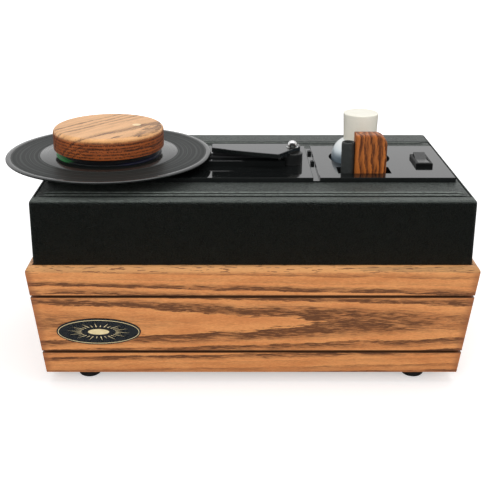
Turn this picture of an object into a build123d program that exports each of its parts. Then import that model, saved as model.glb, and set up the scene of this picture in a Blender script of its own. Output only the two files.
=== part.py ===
from build123d import *
import os
from math import atan, cos, tan

# A record cleaning machine: an oak surround on rubber feet, a vinyl-covered case standing in it,
# and a deck with a turning spindle, a vacuum slot bar, a swinging slot cover, a fluid bottle,
# an applicator brush and a rocker switch.  Millimetres, +Z up, front towards -Y.
# The origin is the middle of the machine's outline on the surface that it stands on.

os.makedirs("parts", exist_ok=True)

# ---------------------------------------------------------------- driving dimensions
# Clearances
seat_gap = 0.2  # between a drop-in piece and the pocket it sits in
screw_gap = 0.1  # round a screw's shank
screw_dome = 0.45  # a screw head's rounding and cross, as shares of its height and width
screw_cross_l = 0.6
screw_cross_w = 0.16
moving_gap = 0.3  # between two pieces that pass or lift clear of each other
running_gap = 0.04  # radial, shaft in bearing

# Rubber feet
foot_d = 19.0
foot_h = 10.0
foot_edge_r = 2.5
foot_in_x = 33.0  # foot centre in from the surround's lower end
foot_in_y = 17.8
foot_recess = 4.0
base_screw_d = 4.0
base_screw_head_d = 7.6
base_screw_head_h = 2.2

# Oak surround: four mitred boards leaning outwards
base_ledge = 5.6  # how far the rim stands out round the case
base_h = 97.5
base_taper = 9.8  # how far each face comes in at the bottom
board_t = 15.0
rim_r = 4.4
rebate_h = 6.0
kerf_w = 2.0
kerf_deep = 2.2
upper_kerf_down = 25.0
lower_kerf_up = 21.0
block_leg = 20.0  # glue blocks in the corners
block_h = 62.0
block_screw_in = 5.0  # from the block's side faces
bottom_panel_t = 6.0

# Case: vinyl-covered board
case_w = 346.4
case_d = 201.5
case_rise = 53.2
case_wall = 9.5
case_corner_r = 3.6
case_edge_r = 3.2
side_lip = 2.5
panel_t = 9.0
panel_edge_r = 3.4
panel_side_r = 1.4
panel_gap = 0.5  # the groove round the top panel
rear_strip_d = 28.5

# Deck plates: glossy acrylic
deck_side = 6.6  # case top that shows at each side of the deck
deck_w = case_w - 2 * deck_side
deck_d = 97.4
deck_back = 46.4  # front edge of the deck behind the case's front face
deck_base_t = 1.3
deck_plate_t = 2.7
channel_x = 53.0  # gutter between the two upper plates, right of the case's middle
channel_w = 5.4
plate_edge = 0.3
clip_w = 3.2
clip_d = 4.6
clip_side = 0.5
clip_pin_d = 1.6
clip_pin_h = 0.4
front_clip_y = 95.9  # behind the case's front face
back_clip_y = 127.6

# Spindle, platter and record
spindle_x = -121.8
spindle_y = 93.5  # behind the case's front face
spindle_d = 7.1
spindle_tip_r = 2.84
shaft_d = 8.0
bush_d = 14.0
bush_flange_d = 24.0
bush_flange_h = 2.0
bush_nut_d = 22.0
bush_nut_h = 5.0
bush_tail = 12.0  # bush below the top panel
shaft_tail = 5.0  # shaft below the bush
clip_groove_d = 6.4
shaft_clip_d = 12.0
shaft_clip_t = 1.0
thrust_washer_d = 20.0
thrust_washer_t = 0.5
platter_d = 92.0
platter_edge_r = 0.8
platter_lift = 2.8  # underside of the platter above the deck
platter_t = 2.7
mat_t = 1.5
mat_in = 1.0  # mat's edge in from the platter's
record_d = 175.0
record_t = 1.6
record_edge = 0.48
record_hole_d = 7.24
rim_bead = 1.4
groove_inner_d = 118.0
groove_deep = 0.2
label_d = 90.0
label_t = 0.15
puck_d = 94.0
puck_t = 18.0
puck_edge_r = 4.0
puck_lower_r = 1.0
puck_pad_d = 78.0
puck_pad_t = 5.2
puck_pad_hole_d = 12.0
spindle_rise = 11.0  # spindle tip above the record

# Vacuum slot bar
bar_left_gap = 2.3  # from the platter's edge
bar_right = 29.0
bar_w = 25.6
bar_y = 92.3
bar_h = 4.8
bar_edge = 0.6
slot_w = 2.4
slot_end = 7.0  # solid bar beyond each end of the slot
lip_w = 3.6
lip_h = 1.7
lip_edge_r = 0.5
bar_screw_d = 2.0
bar_screw_head_d = 3.4
bar_screw_head_h = 0.9
bar_screw_in_x = 4.5
bar_screw_in_y = 5.0
plenum_in = 3.0  # plenum narrower than the bar on each side
plenum_deep = 26.0  # below the top of the case
plenum_wall = 2.0

# Swinging slot cover
pivot_x = 35.5
pivot_y = 89.7
post_d = 17.8
post_h = 9.5
post_edge_r = 0.6
arm_t = 4.0
arm_tip_x = -33.5
arm_tip_front_y = 88.7
arm_back_y = 101.4
arm_elbow_x = 23.1
arm_elbow_y = 68.3
arm_end_x = 42.6
arm_end_y = 93.2
arm_front_bow = 0.9
arm_corner_r = 1.2
arm_edge = 0.4
pad_tip_x = -32.7
pad_tip_y = 91.7
pad_elbow_x = 21.0
pad_elbow_y = 81.0
pad_back_y = 99.5
pivot_bolt_d = 5.0
pivot_head_d = 9.0
pivot_head_h = 3.2
dome_nut_d = 8.5
dome_nut_h = 5.5
dome_nut_skirt = 2.0
arm_washer_d = 10.0
arm_washer_t = 0.5
arm_play = 0.05

# Bottle, brush and the well that holds them
bottle_x = 95.5
bottle_y = 106.5
bottle_hole_d = 53.0
bottle_d = 48.8
bottle_top = 44.6  # top of the overcap above the case
bottle_body_h = 72.0
bottle_wall = 1.4
bottle_base_r = 4.0
shoulder_h = 17.0
neck_d = 18.0
neck_h = 6.0
cap_top_d = 30.2
cap_low_d = 28.2
cap_h = 23.3
cap_wall = 1.4
cap_edge_r = 1.2
spout_d = 15.0
spout_collar_h = 3.0
spout_shoulder_d = 10.5
spout_tip_d = 4.0
spout_hole_d = 2.0
spout_h = 9.0
brush_slot_right = 116.2
brush_slot_w = 44.2
brush_slot_front = 58.2
brush_slot_d = 18.5
well_wall = 2.0
well_flange = 7.0
well_flange_t = 3.0
handle_w = 26.2
handle_d = 14.8
handle_right_gap = 4.2  # handle's right side in from the slot's right end
handle_rise = 32.0
handle_l = 98.0
handle_big_r = 9.0
handle_small_r = 4.0
handle_edge_r = 2.4
sleeve_d = 11.4
sleeve_bore_d = 6.6
sleeve_edge_r = 1.0
sleeve_rise = 25.0
sleeve_l = 88.0
sleeve_seat = 0.5  # how deep the sleeve beds into the handle's edge

# Rocker switch
switch_in = 19.5  # its middle in from the deck's right edge
switch_x = deck_w / 2 - switch_in
switch_y = 91.85
bezel_w = 14.2
bezel_l = 29.1
bezel_h = 3.2
bezel_edge = 0.6
switch_body_w = 12.4
switch_body_l = 26.6
switch_body_deep = 20.0
rocker_w = 9.8
rocker_l = 24.0
rocker_side_gap = 0.25
rocker_pivot_up = 0.5
rocker_waist = 2.0
rocker_vee = 10.0
rocker_tilt = 7.0
rocker_deep = 5.0
rocker_pin_d = 2.0

# Vacuum motor, waste tank and hose
tank_x = -32.0
tank_w = 160.0
tank_d = 126.0
tank_h = 40.0
tank_wall = 2.0
lid_t = 4.0
tank_screw_d = 3.2
tank_screw_head_d = 6.2
tank_screw_head_h = 1.9
tank_screw_in = 6.0
tank_post_d = 10.0
motor_x = -51.0
eye_d = 28.0
fan_d = 100.0
fan_h = 26.0
fan_wall = 1.5
fan_flange = 8.0
motor_screw_count = 3
port_w = 22.0
port_h = 12.0
frame_d = 66.0
frame_h = 34.0
frame_wall = 3.0
frame_window_w = 22.0
frame_window_h = 8.5
motor_shaft_d = 8.0
bearing_d = 19.0
bearing_t = 5.0
impeller_side_gap = 2.5
impeller_h = 14.0
impeller_disc_t = 1.2
impeller_blades = 8
blade_t = 1.2
hub_d = 18.0
impeller_gap = 2.0  # above the fan housing's floor
armature_d = 46.0
armature_l = 20.0
hose_x = 18.0
hose_d = 19.0
hose_bore_d = 14.0
nipple_l = 12.0
nipple_wall = 1.5
clamp_w = 8.0
clamp_t = 1.2
clamp_block = 6.0

# Back of the machine
inlet_x = 118.0
inlet_z = 130.5
inlet_flange_w = 50.0
inlet_flange_h = 23.0
rear_flange_t = 2.5  # inlet flange and grille
inlet_body_w = 28.5
inlet_body_h = 20.5
inlet_body_l = 20.0
inlet_cavity_w = 25.0
inlet_cavity_h = 17.0
inlet_cavity_l = 16.0
inlet_pin_w = 2.0
inlet_pin_h = 4.0
inlet_pin_free = 10.5
inlet_pin_tail = 7.0
inlet_pin_pitch = 7.0
inlet_earth_up = 3.6
inlet_corner_r = 2.0
rear_screw_d = 3.0
rear_screw_head_d = 5.6
rear_screw_head_h = 1.6
rear_screw_l = 8.0
inlet_screw_pitch = 40.0
grille_x = -60.0
grille_w = 90.0
grille_h = 30.0
grille_margin = 7.0
grille_slots = 12
grille_slot_w = 3.2
grille_slot_l = 19.5
grille_pitch = 6.2
drain_x = -30.0
drain_up = 8.0  # drain axis above the tank's floor
drain_d = 10.0
drain_bore_d = 6.0
drain_proud = 0.8  # end of the drain tube beyond the back board's face
plug_shank_l = 14.0
plug_head_d = 13.0
plug_head_t = 3.4
plug_edge_r = 1.0

# Badge: a plain oval plate
badge_x = -123.7
badge_z = 49.5
badge_w = 68.0
badge_h = 24.4
badge_t = 1.0
badge_edge = 0.3

# ---------------------------------------------------------------- derived places
base_w = case_w + 2 * base_ledge
base_d = case_d + 2 * base_ledge

# The rim's rounding takes a little off the leaning boards' reach.  The record overhangs the
# left side, so the case stands a little to the right of the origin.
lean = atan(base_taper / base_h)
rim_loss = rim_r * (tan(lean) + 1 / cos(lean) - 1)
right_reach = base_w / 2 - rim_loss
left_reach = max(right_reach, record_d / 2 - spindle_x)
cab_x = (left_reach - right_reach) / 2
front_y = -case_d / 2

base_bottom = foot_h
base_top = base_bottom + base_h
panel_top = base_bottom + bottom_panel_t
case_bottom = base_top - rebate_h
case_top = base_top + case_rise
panel_under = case_top - panel_t
deck_floor = case_top + deck_base_t
deck_top = deck_floor + deck_plate_t

spin = (cab_x + spindle_x, front_y + spindle_y)
pivot = (cab_x + pivot_x, front_y + pivot_y)
bottle = (cab_x + bottle_x, front_y + bottle_y)
switch = (cab_x + switch_x, front_y + switch_y)
motor = (cab_x + motor_x, 0)

platter_under = deck_top + platter_lift
mat_under = platter_under + platter_t
record_under = mat_under + mat_t
record_top = record_under + record_t
puck_under = record_top + label_t + puck_pad_t

bar_top = deck_top + bar_h
bar_left_x = spin[0] + platter_d / 2 + bar_left_gap
bar_right_x = cab_x + bar_right
bar_mid_x = (bar_left_x + bar_right_x) / 2
bar_l = bar_right_x - bar_left_x
bar_mid_y = front_y + bar_y
lip_top = bar_top + lip_h
slot_l = bar_l - 2 * slot_end
plenum_l = bar_l - 2 * plenum_in
plenum_w = bar_w - 2 * plenum_in
plenum_under = case_top - plenum_deep

post_top = deck_top + post_h
arm_under = post_top + moving_gap
arm_top = arm_under + arm_t
pad_under = lip_top + moving_gap
washer_under = arm_top + arm_play
nut_under = washer_under + arm_washer_t

cap_top = case_top + bottle_top
cap_under = cap_top - cap_h
shoulder_top = cap_under - moving_gap
shoulder_low = shoulder_top - shoulder_h
bottle_under = shoulder_low - bottle_body_h
slot_mid = (
    cab_x + brush_slot_right - brush_slot_w / 2,
    front_y + brush_slot_front + brush_slot_d / 2,
)
handle_top = deck_top + handle_rise
handle_under = handle_top - handle_l
handle_mid_x = cab_x + brush_slot_right - handle_right_gap - handle_w / 2
sleeve_x = handle_mid_x - handle_w / 2 + sleeve_seat - sleeve_d / 2
sleeve_top = deck_top + sleeve_rise
sleeve_under = sleeve_top - sleeve_l

tank_top = panel_top + tank_h
lid_top = tank_top + lid_t
fan_under = lid_top
tank_screw_l = fan_wall + lid_t
fan_top = fan_under + fan_h
frame_top = fan_top + frame_h
hose = (cab_x + hose_x, bar_mid_y)


# ---------------------------------------------------------------- helpers
def turned(place, *rings):
    """A turned piece about an upright axis; each ring is (bore, diameter, low, high)."""
    with BuildPart() as piece:
        for bore, outer, low, high in rings:
            with BuildSketch(Plane.XY.offset(low)):
                with Locations(place):
                    Circle(outer / 2)
                    if bore:
                        Circle(bore / 2, mode=Mode.SUBTRACT)
            extrude(amount=high - low)
    return piece


def upright(place):
    """The upright plane through a vertical axis, local x outwards and local y up."""
    return Plane(origin=(*place, 0), x_dir=(1, 0, 0), z_dir=(0, -1, 0))


def screws(face, spots, shank_d, head_d, head_h, length):
    """Cross-head screws: heads stand on the plane and shanks run into it."""
    with BuildPart() as group:
        with BuildSketch(face):
            with Locations(*spots):
                Circle(shank_d / 2)
        extrude(amount=-length)
        with BuildSketch(face):
            with Locations(*spots):
                Circle(head_d / 2)
        extrude(amount=head_h)
        up = Axis(face.origin, face.z_dir)
        tops = group.faces().sort_by(up)[-len(spots) :]
        fillet(tops.edges(), screw_dome * head_h)
        with BuildSketch(face.offset(head_h)):
            with Locations(*spots):
                Rectangle(screw_cross_l * head_d, screw_cross_w * head_d)
                Rectangle(screw_cross_w * head_d, screw_cross_l * head_d)
        extrude(amount=-head_h / 2, mode=Mode.SUBTRACT)
    return group


def mirrored_spots(place, half_x, half_y):
    """Four places round a middle."""
    x, y = place
    return [(x + sx * half_x, y + sy * half_y) for sx in (-1, 1) for sy in (-1, 1)]


# ---------------------------------------------------------------- oak surround
def surround_board(out, half_out, half_along):
    """One leaning board: its section swept along it, then mitred at both ends."""
    along = Vector(-out.Y, out.X, 0)
    section = Plane(origin=(cab_x, 0, 0), x_dir=out, z_dir=out.cross(Vector(0, 0, 1)))
    case_half = half_out - base_ledge
    with BuildPart() as board:
        with BuildSketch(section):
            with BuildLine():
                Polyline(
                    (half_out - base_taper, base_bottom),
                    (half_out, base_top),
                    (half_out - board_t, base_top),
                    (half_out - base_taper - board_t, base_bottom),
                    close=True,
                )
            face = make_face()
            rim = face.vertices().sort_by(Axis.Y)[-2:].sort_by(Axis.X)[-1]
            fillet(rim, rim_r)
            with Locations((case_half + seat_gap, base_top - rebate_h)):
                Rectangle(
                    board_t, base_h, align=(Align.MAX, Align.MIN), mode=Mode.SUBTRACT
                )
            for kerf_z in (base_top - upper_kerf_down, base_bottom + lower_kerf_up):
                in_from_top = base_taper * (base_top - kerf_z) / base_h
                with Locations((half_out - in_from_top - kerf_deep, kerf_z)):
                    Rectangle(
                        board_t, kerf_w, align=(Align.MIN, Align.MAX), mode=Mode.SUBTRACT
                    )
        extrude(amount=half_along + board_t, both=True)
        for end in (-1, 1):
            corner = Vector(cab_x, 0, 0) + out * half_out + along * (end * half_along)
            mitre = Plane(origin=corner, z_dir=along * end - out)
            split(bisect_by=mitre, keep=Keep.BOTTOM)
    return board


base_front_board = surround_board(Vector(0, -1, 0), base_d / 2, base_w / 2)
base_left_board = surround_board(Vector(-1, 0, 0), base_w / 2, base_d / 2)
base_right_board = surround_board(Vector(1, 0, 0), base_w / 2, base_d / 2)
drain_z = panel_top + tank_wall + drain_up
drain_out = base_d / 2 - base_taper * (base_top - drain_z) / base_h + drain_proud
drain_face = Plane(
    origin=(cab_x + drain_x, 0, drain_z), x_dir=(-1, 0, 0), z_dir=(0, 1, 0)
)
undrilled_back_board = surround_board(Vector(0, 1, 0), base_d / 2, base_w / 2)
with BuildPart() as base_back_board:
    add(undrilled_back_board.part)
    with BuildSketch(drain_face):
        Circle(drain_d / 2 + seat_gap)
    extrude(amount=base_d, mode=Mode.SUBTRACT)

# Glue blocks in the corners, leaning with the boards
inner_low_w = base_w - 2 * (base_taper + board_t)
inner_low_d = base_d - 2 * (base_taper + board_t)
blocks_top = panel_top + block_h


def inner_at(height):
    """Width and depth inside the boards at a height, less a glue line."""
    spread = 2 * base_taper * (height - base_bottom) / base_h - 2 * screw_gap
    return inner_low_w + spread, inner_low_d + spread


# One kind of screw holds the bottom panel to the blocks and the feet to the bottom panel
base_screw_l = foot_h - foot_recess + bottom_panel_t - screw_gap
block_spots = mirrored_spots(
    (cab_x, 0),
    inner_low_w / 2 - block_screw_in,
    inner_low_d / 2 - block_leg + block_screw_in,
)
foot_spots = mirrored_spots(
    (cab_x, 0), base_w / 2 - base_taper - foot_in_x, base_d / 2 - base_taper - foot_in_y
)
with BuildPart() as corner_blocks:
    for height in (panel_top, blocks_top):
        with BuildSketch(Plane.XY.offset(height)):
            with Locations((cab_x, 0)):
                Rectangle(*inner_at(height))
    loft()
    with BuildSketch(Plane.XY.offset(panel_top)):
        with Locations((cab_x, 0)):
            Rectangle(inner_low_w - 2 * block_leg, base_d)
            Rectangle(base_w, inner_low_d - 2 * block_leg)
    extrude(amount=block_h, mode=Mode.SUBTRACT)
    with BuildSketch(Plane.XY.offset(panel_top)):
        with Locations(*block_spots):
            Circle(base_screw_d / 2 + screw_gap)
    extrude(amount=base_screw_l - bottom_panel_t + seat_gap, mode=Mode.SUBTRACT)

# Bottom panel between the boards, flush with their lower edges
with BuildPart() as bottom_panel:
    with BuildSketch(Plane.XY.offset(base_bottom)):
        with Locations((cab_x, 0)):
            Rectangle(inner_low_w - 2 * seat_gap, inner_low_d - 2 * seat_gap)
        with Locations(*block_spots):
            Circle(base_screw_d / 2 + screw_gap, mode=Mode.SUBTRACT)
        with Locations(*foot_spots):
            Circle(base_screw_d / 2 + screw_gap, mode=Mode.SUBTRACT)
    extrude(amount=bottom_panel_t)

# Rubber feet, each held by a screw in a recess
with BuildPart() as rubber_feet:
    with BuildSketch(Plane.XY):
        with Locations(*foot_spots):
            Circle(foot_d / 2)
    extrude(amount=foot_h)
    fillet(rubber_feet.edges().group_by(Axis.Z)[0], foot_edge_r)
    with BuildSketch(Plane.XY):
        with Locations(*foot_spots):
            Circle(base_screw_head_d / 2 + screw_gap)
    extrude(amount=foot_recess, mode=Mode.SUBTRACT)
    with BuildSketch(Plane.XY):
        with Locations(*foot_spots):
            Circle(base_screw_d / 2 + screw_gap)
    extrude(amount=foot_h, mode=Mode.SUBTRACT)

with BuildPart() as base_screws:
    for height, spots in ((base_bottom, block_spots), (foot_recess, foot_spots)):
        face = Plane(origin=(0, 0, height), x_dir=(1, 0, 0), z_dir=(0, 0, -1))
        add(
            screws(
                face,
                [(x, -y) for x, y in spots],
                base_screw_d,
                base_screw_head_d,
                base_screw_head_h,
                base_screw_l,
            ).part
        )

# Plain oval badge on the leaning front board
badge_in = base_taper * (base_top - badge_z) / base_h
badge_face = Plane(
    origin=(cab_x + badge_x, -base_d / 2 + badge_in, badge_z),
    x_dir=(1, 0, 0),
    z_dir=(0, -base_h, -base_taper),
)
with BuildPart() as badge:
    with BuildSketch(badge_face):
        Ellipse(badge_w / 2, badge_h / 2)
    extrude(amount=badge_t)
    chamfer(badge.faces().sort_by(Axis.Y)[0].edges(), badge_edge)

# ---------------------------------------------------------------- vinyl-covered case
back_face = Plane(origin=(0, case_d / 2, 0), x_dir=(-1, 0, 0), z_dir=(0, 1, 0))
inlet_spot = (-(cab_x + inlet_x), inlet_z)
grille_mid_z = (base_top + panel_under) / 2
grille_spot = (-(cab_x + grille_x), grille_mid_z)
inlet_pin_spots = [
    (-inlet_pin_pitch, -inlet_earth_up / 2),
    (0, inlet_earth_up / 2),
    (inlet_pin_pitch, -inlet_earth_up / 2),
]
inlet_screw_spots = [
    (inlet_spot[0] + side * inlet_screw_pitch / 2, inlet_z) for side in (-1, 1)
]
grille_screw_spots = mirrored_spots(
    grille_spot, (grille_w - grille_margin) / 2, (grille_h - grille_margin) / 2
)


def case_block():
    """The case's outside as a solid block with rounded upright and top edges."""
    with BuildPart() as block:
        with BuildSketch(Plane.XY.offset(case_bottom)):
            with Locations((cab_x, 0)):
                RectangleRounded(case_w, case_d, case_corner_r)
        extrude(amount=case_top - case_bottom)
        fillet(block.faces().sort_by(Axis.Z)[-1].edges(), case_edge_r)
    return block


seat_w = case_w - 2 * side_lip
panel_front = front_y + case_wall
strip_front = case_d / 2 - rear_strip_d

with BuildPart() as case_shell:
    add(case_block().part)
    with BuildSketch(Plane.XY.offset(case_bottom)):
        with Locations((cab_x, 0)):
            Rectangle(case_w - 2 * case_wall, case_d - 2 * case_wall)
    extrude(amount=case_top - case_bottom, mode=Mode.SUBTRACT)
    with BuildSketch(Plane.XY.offset(panel_under)):
        with Locations((cab_x, panel_front)):
            Rectangle(seat_w, case_d, align=(Align.CENTER, Align.MIN))
    extrude(amount=panel_t, mode=Mode.SUBTRACT)
    with BuildSketch(back_face):
        with Locations(inlet_spot):
            Rectangle(inlet_body_w + 2 * seat_gap, inlet_body_h + 2 * seat_gap)
        with Locations(grille_spot):
            Rectangle(grille_w - 2 * grille_margin, grille_h - 2 * grille_margin)
        with Locations(*inlet_screw_spots, *grille_screw_spots):
            Circle(rear_screw_d / 2 + screw_gap)
    extrude(amount=-case_wall, mode=Mode.SUBTRACT)

with BuildPart() as rear_strip:
    add(case_block().part)
    with BuildSketch(Plane.XY.offset(panel_under)):
        with Locations((cab_x, strip_front + panel_gap / 2)):
            Rectangle(
                seat_w - 2 * panel_gap, rear_strip_d, align=(Align.CENTER, Align.MIN)
            )
    extrude(amount=panel_t, mode=Mode.INTERSECT)
    top_edges = rear_strip.edges().filter_by(Axis.X).group_by(Axis.Z)[-1]
    fillet(top_edges.sort_by(Axis.Y)[0], panel_side_r)


# ---------------------------------------------------------------- deck openings
def deck_openings():
    """Outlines of what passes down through the top panel and the deck plates."""
    with Locations(spin):
        Circle(bush_d / 2 + seat_gap, mode=Mode.SUBTRACT)
    with Locations((bar_mid_x, bar_mid_y)):
        Rectangle(plenum_l + 2 * seat_gap, plenum_w + 2 * seat_gap, mode=Mode.SUBTRACT)
    with Locations(pivot):
        Circle(pivot_bolt_d / 2 + screw_gap, mode=Mode.SUBTRACT)
    with Locations(bottle):
        Circle(bottle_hole_d / 2, mode=Mode.SUBTRACT)
    with Locations(slot_mid):
        Rectangle(brush_slot_w, brush_slot_d, mode=Mode.SUBTRACT)
    with Locations(switch):
        Rectangle(
            switch_body_w + 2 * seat_gap,
            switch_body_l + 2 * seat_gap,
            mode=Mode.SUBTRACT,
        )


clip_x = cab_x + channel_x + channel_w / 2 - clip_side - clip_w / 2
clip_spots = [(clip_x, front_y + back) for back in (front_clip_y, back_clip_y)]
bar_screw_spots = mirrored_spots(
    (bar_mid_x, bar_mid_y), bar_l / 2 - bar_screw_in_x, bar_w / 2 - bar_screw_in_y
)

with BuildPart() as top_panel:
    with BuildSketch(Plane.XY.offset(panel_under)):
        with Locations((cab_x, panel_front + panel_gap)):
            Rectangle(
                seat_w - 2 * panel_gap,
                case_d - case_wall - rear_strip_d - panel_gap - panel_gap / 2,
                align=(Align.CENTER, Align.MIN),
            )
    extrude(amount=panel_t)
    top_edges = top_panel.faces().sort_by(Axis.Z)[-1].edges()
    fillet(top_edges.filter_by(Axis.X), panel_edge_r)
    top_edges = top_panel.faces().sort_by(Axis.Z)[-1].edges()
    fillet(top_edges.filter_by(Axis.Y), panel_side_r)
    with BuildSketch(Plane.XY.offset(panel_under)):
        with Locations((cab_x, 0)):
            Rectangle(case_w, case_d)
        deck_openings()
    extrude(amount=panel_t, mode=Mode.INTERSECT)

deck_front = front_y + deck_back
with BuildPart() as deck_base_plate:
    with BuildSketch(Plane.XY.offset(case_top)):
        with Locations((cab_x, deck_front)):
            Rectangle(deck_w, deck_d, align=(Align.CENTER, Align.MIN))
        deck_openings()
    extrude(amount=deck_base_t)


def upper_plate(left, right):
    """One glossy upper plate between two x positions."""
    with BuildPart() as plate:
        with BuildSketch(Plane.XY.offset(deck_floor)):
            with Locations((left, deck_front)):
                Rectangle(right - left, deck_d, align=(Align.MIN, Align.MIN))
        extrude(amount=deck_plate_t)
        chamfer(plate.faces().sort_by(Axis.Z)[-1].edges(), plate_edge)
        with BuildSketch(Plane.XY.offset(deck_floor)):
            with Locations((cab_x, 0)):
                Rectangle(case_w, case_d)
            deck_openings()
        extrude(amount=deck_plate_t, mode=Mode.INTERSECT)
    return plate


channel_left = cab_x + channel_x - channel_w / 2
channel_right = channel_left + channel_w
left_deck_plate = upper_plate(cab_x - deck_w / 2, channel_left)
right_deck_plate = upper_plate(channel_right, cab_x + deck_w / 2)

# Two small clips in the channel, each with its pin
with BuildPart() as channel_clips:
    with BuildSketch(Plane.XY.offset(deck_floor)):
        with Locations(*clip_spots):
            Rectangle(clip_w, clip_d)
    extrude(amount=deck_plate_t)
    with BuildSketch(Plane.XY.offset(deck_top)):
        with Locations(*clip_spots):
            Circle(clip_pin_d / 2)
    extrude(amount=clip_pin_h)

# ---------------------------------------------------------------- spindle and platter
bush_top = deck_top + bush_flange_h
bush_bottom = panel_under - bush_tail
shaft_bore = shaft_d + 2 * running_gap
shaft_bottom = bush_bottom - shaft_tail
spindle_bush = turned(
    spin,
    (shaft_bore, bush_d, bush_bottom, deck_top),
    (shaft_bore, bush_flange_d, deck_top, bush_top),
)
with BuildPart() as bush_nut:
    with BuildSketch(Plane.XY.offset(panel_under - bush_nut_h)):
        with Locations(spin):
            RegularPolygon(bush_nut_d / 2, 6)
            Circle(bush_d / 2 + screw_gap, mode=Mode.SUBTRACT)
    extrude(amount=bush_nut_h)
thrust_washer = turned(
    spin,
    (shaft_bore, thrust_washer_d, bush_top, bush_top + thrust_washer_t),
)
clip_low = shaft_bottom + shaft_tail - moving_gap - shaft_clip_t
square_spindle = turned(
    spin,
    (0, shaft_d, shaft_bottom, clip_low),
    (0, clip_groove_d, clip_low, clip_low + shaft_clip_t),
    (0, shaft_d, clip_low + shaft_clip_t, record_under - seat_gap),
    (0, spindle_d, record_under - seat_gap, record_top + spindle_rise),
)
with BuildPart() as spindle:
    add(square_spindle.part)
    fillet(spindle.edges().group_by(Axis.Z)[-1], spindle_tip_r)
spindle_clip = turned(
    spin, (clip_groove_d, shaft_clip_d, clip_low, clip_low + shaft_clip_t)
)
with BuildPart() as platter:
    with BuildSketch(Plane.XY.offset(platter_under)):
        with Locations(spin):
            Circle(platter_d / 2)
    extrude(amount=platter_t)
    fillet(platter.edges(), platter_edge_r)
    with BuildSketch(Plane.XY.offset(platter_under)):
        with Locations(spin):
            Circle(shaft_d / 2)
    extrude(amount=platter_t, mode=Mode.SUBTRACT)
platter_mat = turned(
    spin, (shaft_d + 2 * seat_gap, platter_d - 2 * mat_in, mat_under, record_under)
)

# ---------------------------------------------------------------- record and puck
with BuildPart() as record:
    with BuildSketch(Plane.XY.offset(record_under)):
        with Locations(spin):
            Circle(record_d / 2)
    extrude(amount=record_t)
    chamfer(record.edges(), record_edge)
    for low in (record_under, record_top - groove_deep):
        with BuildSketch(Plane.XY.offset(low)):
            with Locations(spin):
                Circle(record_d / 2 - rim_bead)
                Circle(groove_inner_d / 2, mode=Mode.SUBTRACT)
        extrude(amount=groove_deep, mode=Mode.SUBTRACT)
    with BuildSketch(Plane.XY.offset(record_under)):
        with Locations(spin):
            Circle(record_hole_d / 2)
    extrude(amount=record_t, mode=Mode.SUBTRACT)
record_label = turned(
    spin, (record_hole_d, label_d, record_top, record_top + label_t)
)
puck_bore_d = spindle_d + 2 * moving_gap
puck_bore_top = record_top + spindle_rise + moving_gap
with BuildPart() as puck:
    with BuildSketch(Plane.XY.offset(puck_under)):
        with Locations(spin):
            Circle(puck_d / 2)
    extrude(amount=puck_t)
    fillet(puck.edges().group_by(Axis.Z)[-1], puck_edge_r)
    fillet(puck.edges().group_by(Axis.Z)[0], puck_lower_r)
    with BuildSketch(Plane.XY.offset(puck_under)):
        with Locations(spin):
            Circle(puck_bore_d / 2)
    extrude(amount=puck_bore_top - puck_under, mode=Mode.SUBTRACT)
puck_pad = turned(
    spin, (puck_pad_hole_d, puck_pad_d, record_top + label_t, puck_under)
)

# ---------------------------------------------------------------- slot bar and plenum
with BuildPart() as slot_bar:
    with BuildSketch(Plane.XY.offset(deck_top)):
        with Locations((bar_mid_x, bar_mid_y)):
            Rectangle(bar_l, bar_w)
        with Locations(pivot):
            Circle(post_d / 2 + moving_gap, mode=Mode.SUBTRACT)
    extrude(amount=bar_h)
    chamfer(slot_bar.faces().sort_by(Axis.Z)[-1].edges(), bar_edge)
    with BuildSketch(Plane.XY.offset(deck_top)):
        with Locations((bar_mid_x, bar_mid_y)):
            SlotOverall(slot_l, slot_w)
        with Locations(*bar_screw_spots):
            Circle(bar_screw_d / 2 + screw_gap)
    extrude(amount=bar_h, mode=Mode.SUBTRACT)
with BuildPart() as slot_lips:
    with BuildSketch(Plane.XY.offset(bar_top)):
        for side in (-1, 1):
            with Locations((bar_mid_x, bar_mid_y + side * (slot_w + lip_w) / 2)):
                Rectangle(slot_l, lip_w)
    extrude(amount=lip_h)
    lip_tops = slot_lips.faces().filter_by(Axis.Z).group_by(Axis.Z)[-1]
    fillet(lip_tops.edges(), lip_edge_r)
bar_screws = screws(
    Plane.XY.offset(bar_top),
    bar_screw_spots,
    bar_screw_d,
    bar_screw_head_d,
    bar_screw_head_h,
    bar_h,
)

nipple_d = hose_bore_d - 2 * screw_gap
nipple_bore = nipple_d - 2 * nipple_wall
with BuildPart() as vacuum_plenum:
    with BuildSketch(Plane.XY.offset(plenum_under)):
        with Locations((bar_mid_x, bar_mid_y)):
            Rectangle(plenum_l, plenum_w)
    extrude(amount=deck_top - plenum_under)
    with BuildSketch(Plane.XY.offset(plenum_under + plenum_wall)):
        with Locations((bar_mid_x, bar_mid_y)):
            Rectangle(plenum_l - 2 * plenum_wall, plenum_w - 2 * plenum_wall)
    extrude(amount=deck_top - plenum_under, mode=Mode.SUBTRACT)
    with BuildSketch(Plane.XY.offset(plenum_under)):
        with Locations(hose):
            Circle(nipple_d / 2)
    extrude(amount=-nipple_l)
    with BuildSketch(Plane.XY.offset(plenum_under - nipple_l)):
        with Locations(hose):
            Circle(nipple_bore / 2)
    extrude(amount=nipple_l + plenum_wall, mode=Mode.SUBTRACT)

# ---------------------------------------------------------------- swinging slot cover
with BuildPart() as pivot_post:
    with BuildSketch(Plane.XY.offset(deck_top)):
        with Locations(pivot):
            Circle(post_d / 2)
    extrude(amount=post_h)
    fillet(pivot_post.edges().group_by(Axis.Z)[-1], post_edge_r)
    with BuildSketch(Plane.XY.offset(deck_top)):
        with Locations(pivot):
            Circle(pivot_bolt_d / 2 + screw_gap)
    extrude(amount=post_h, mode=Mode.SUBTRACT)

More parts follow.
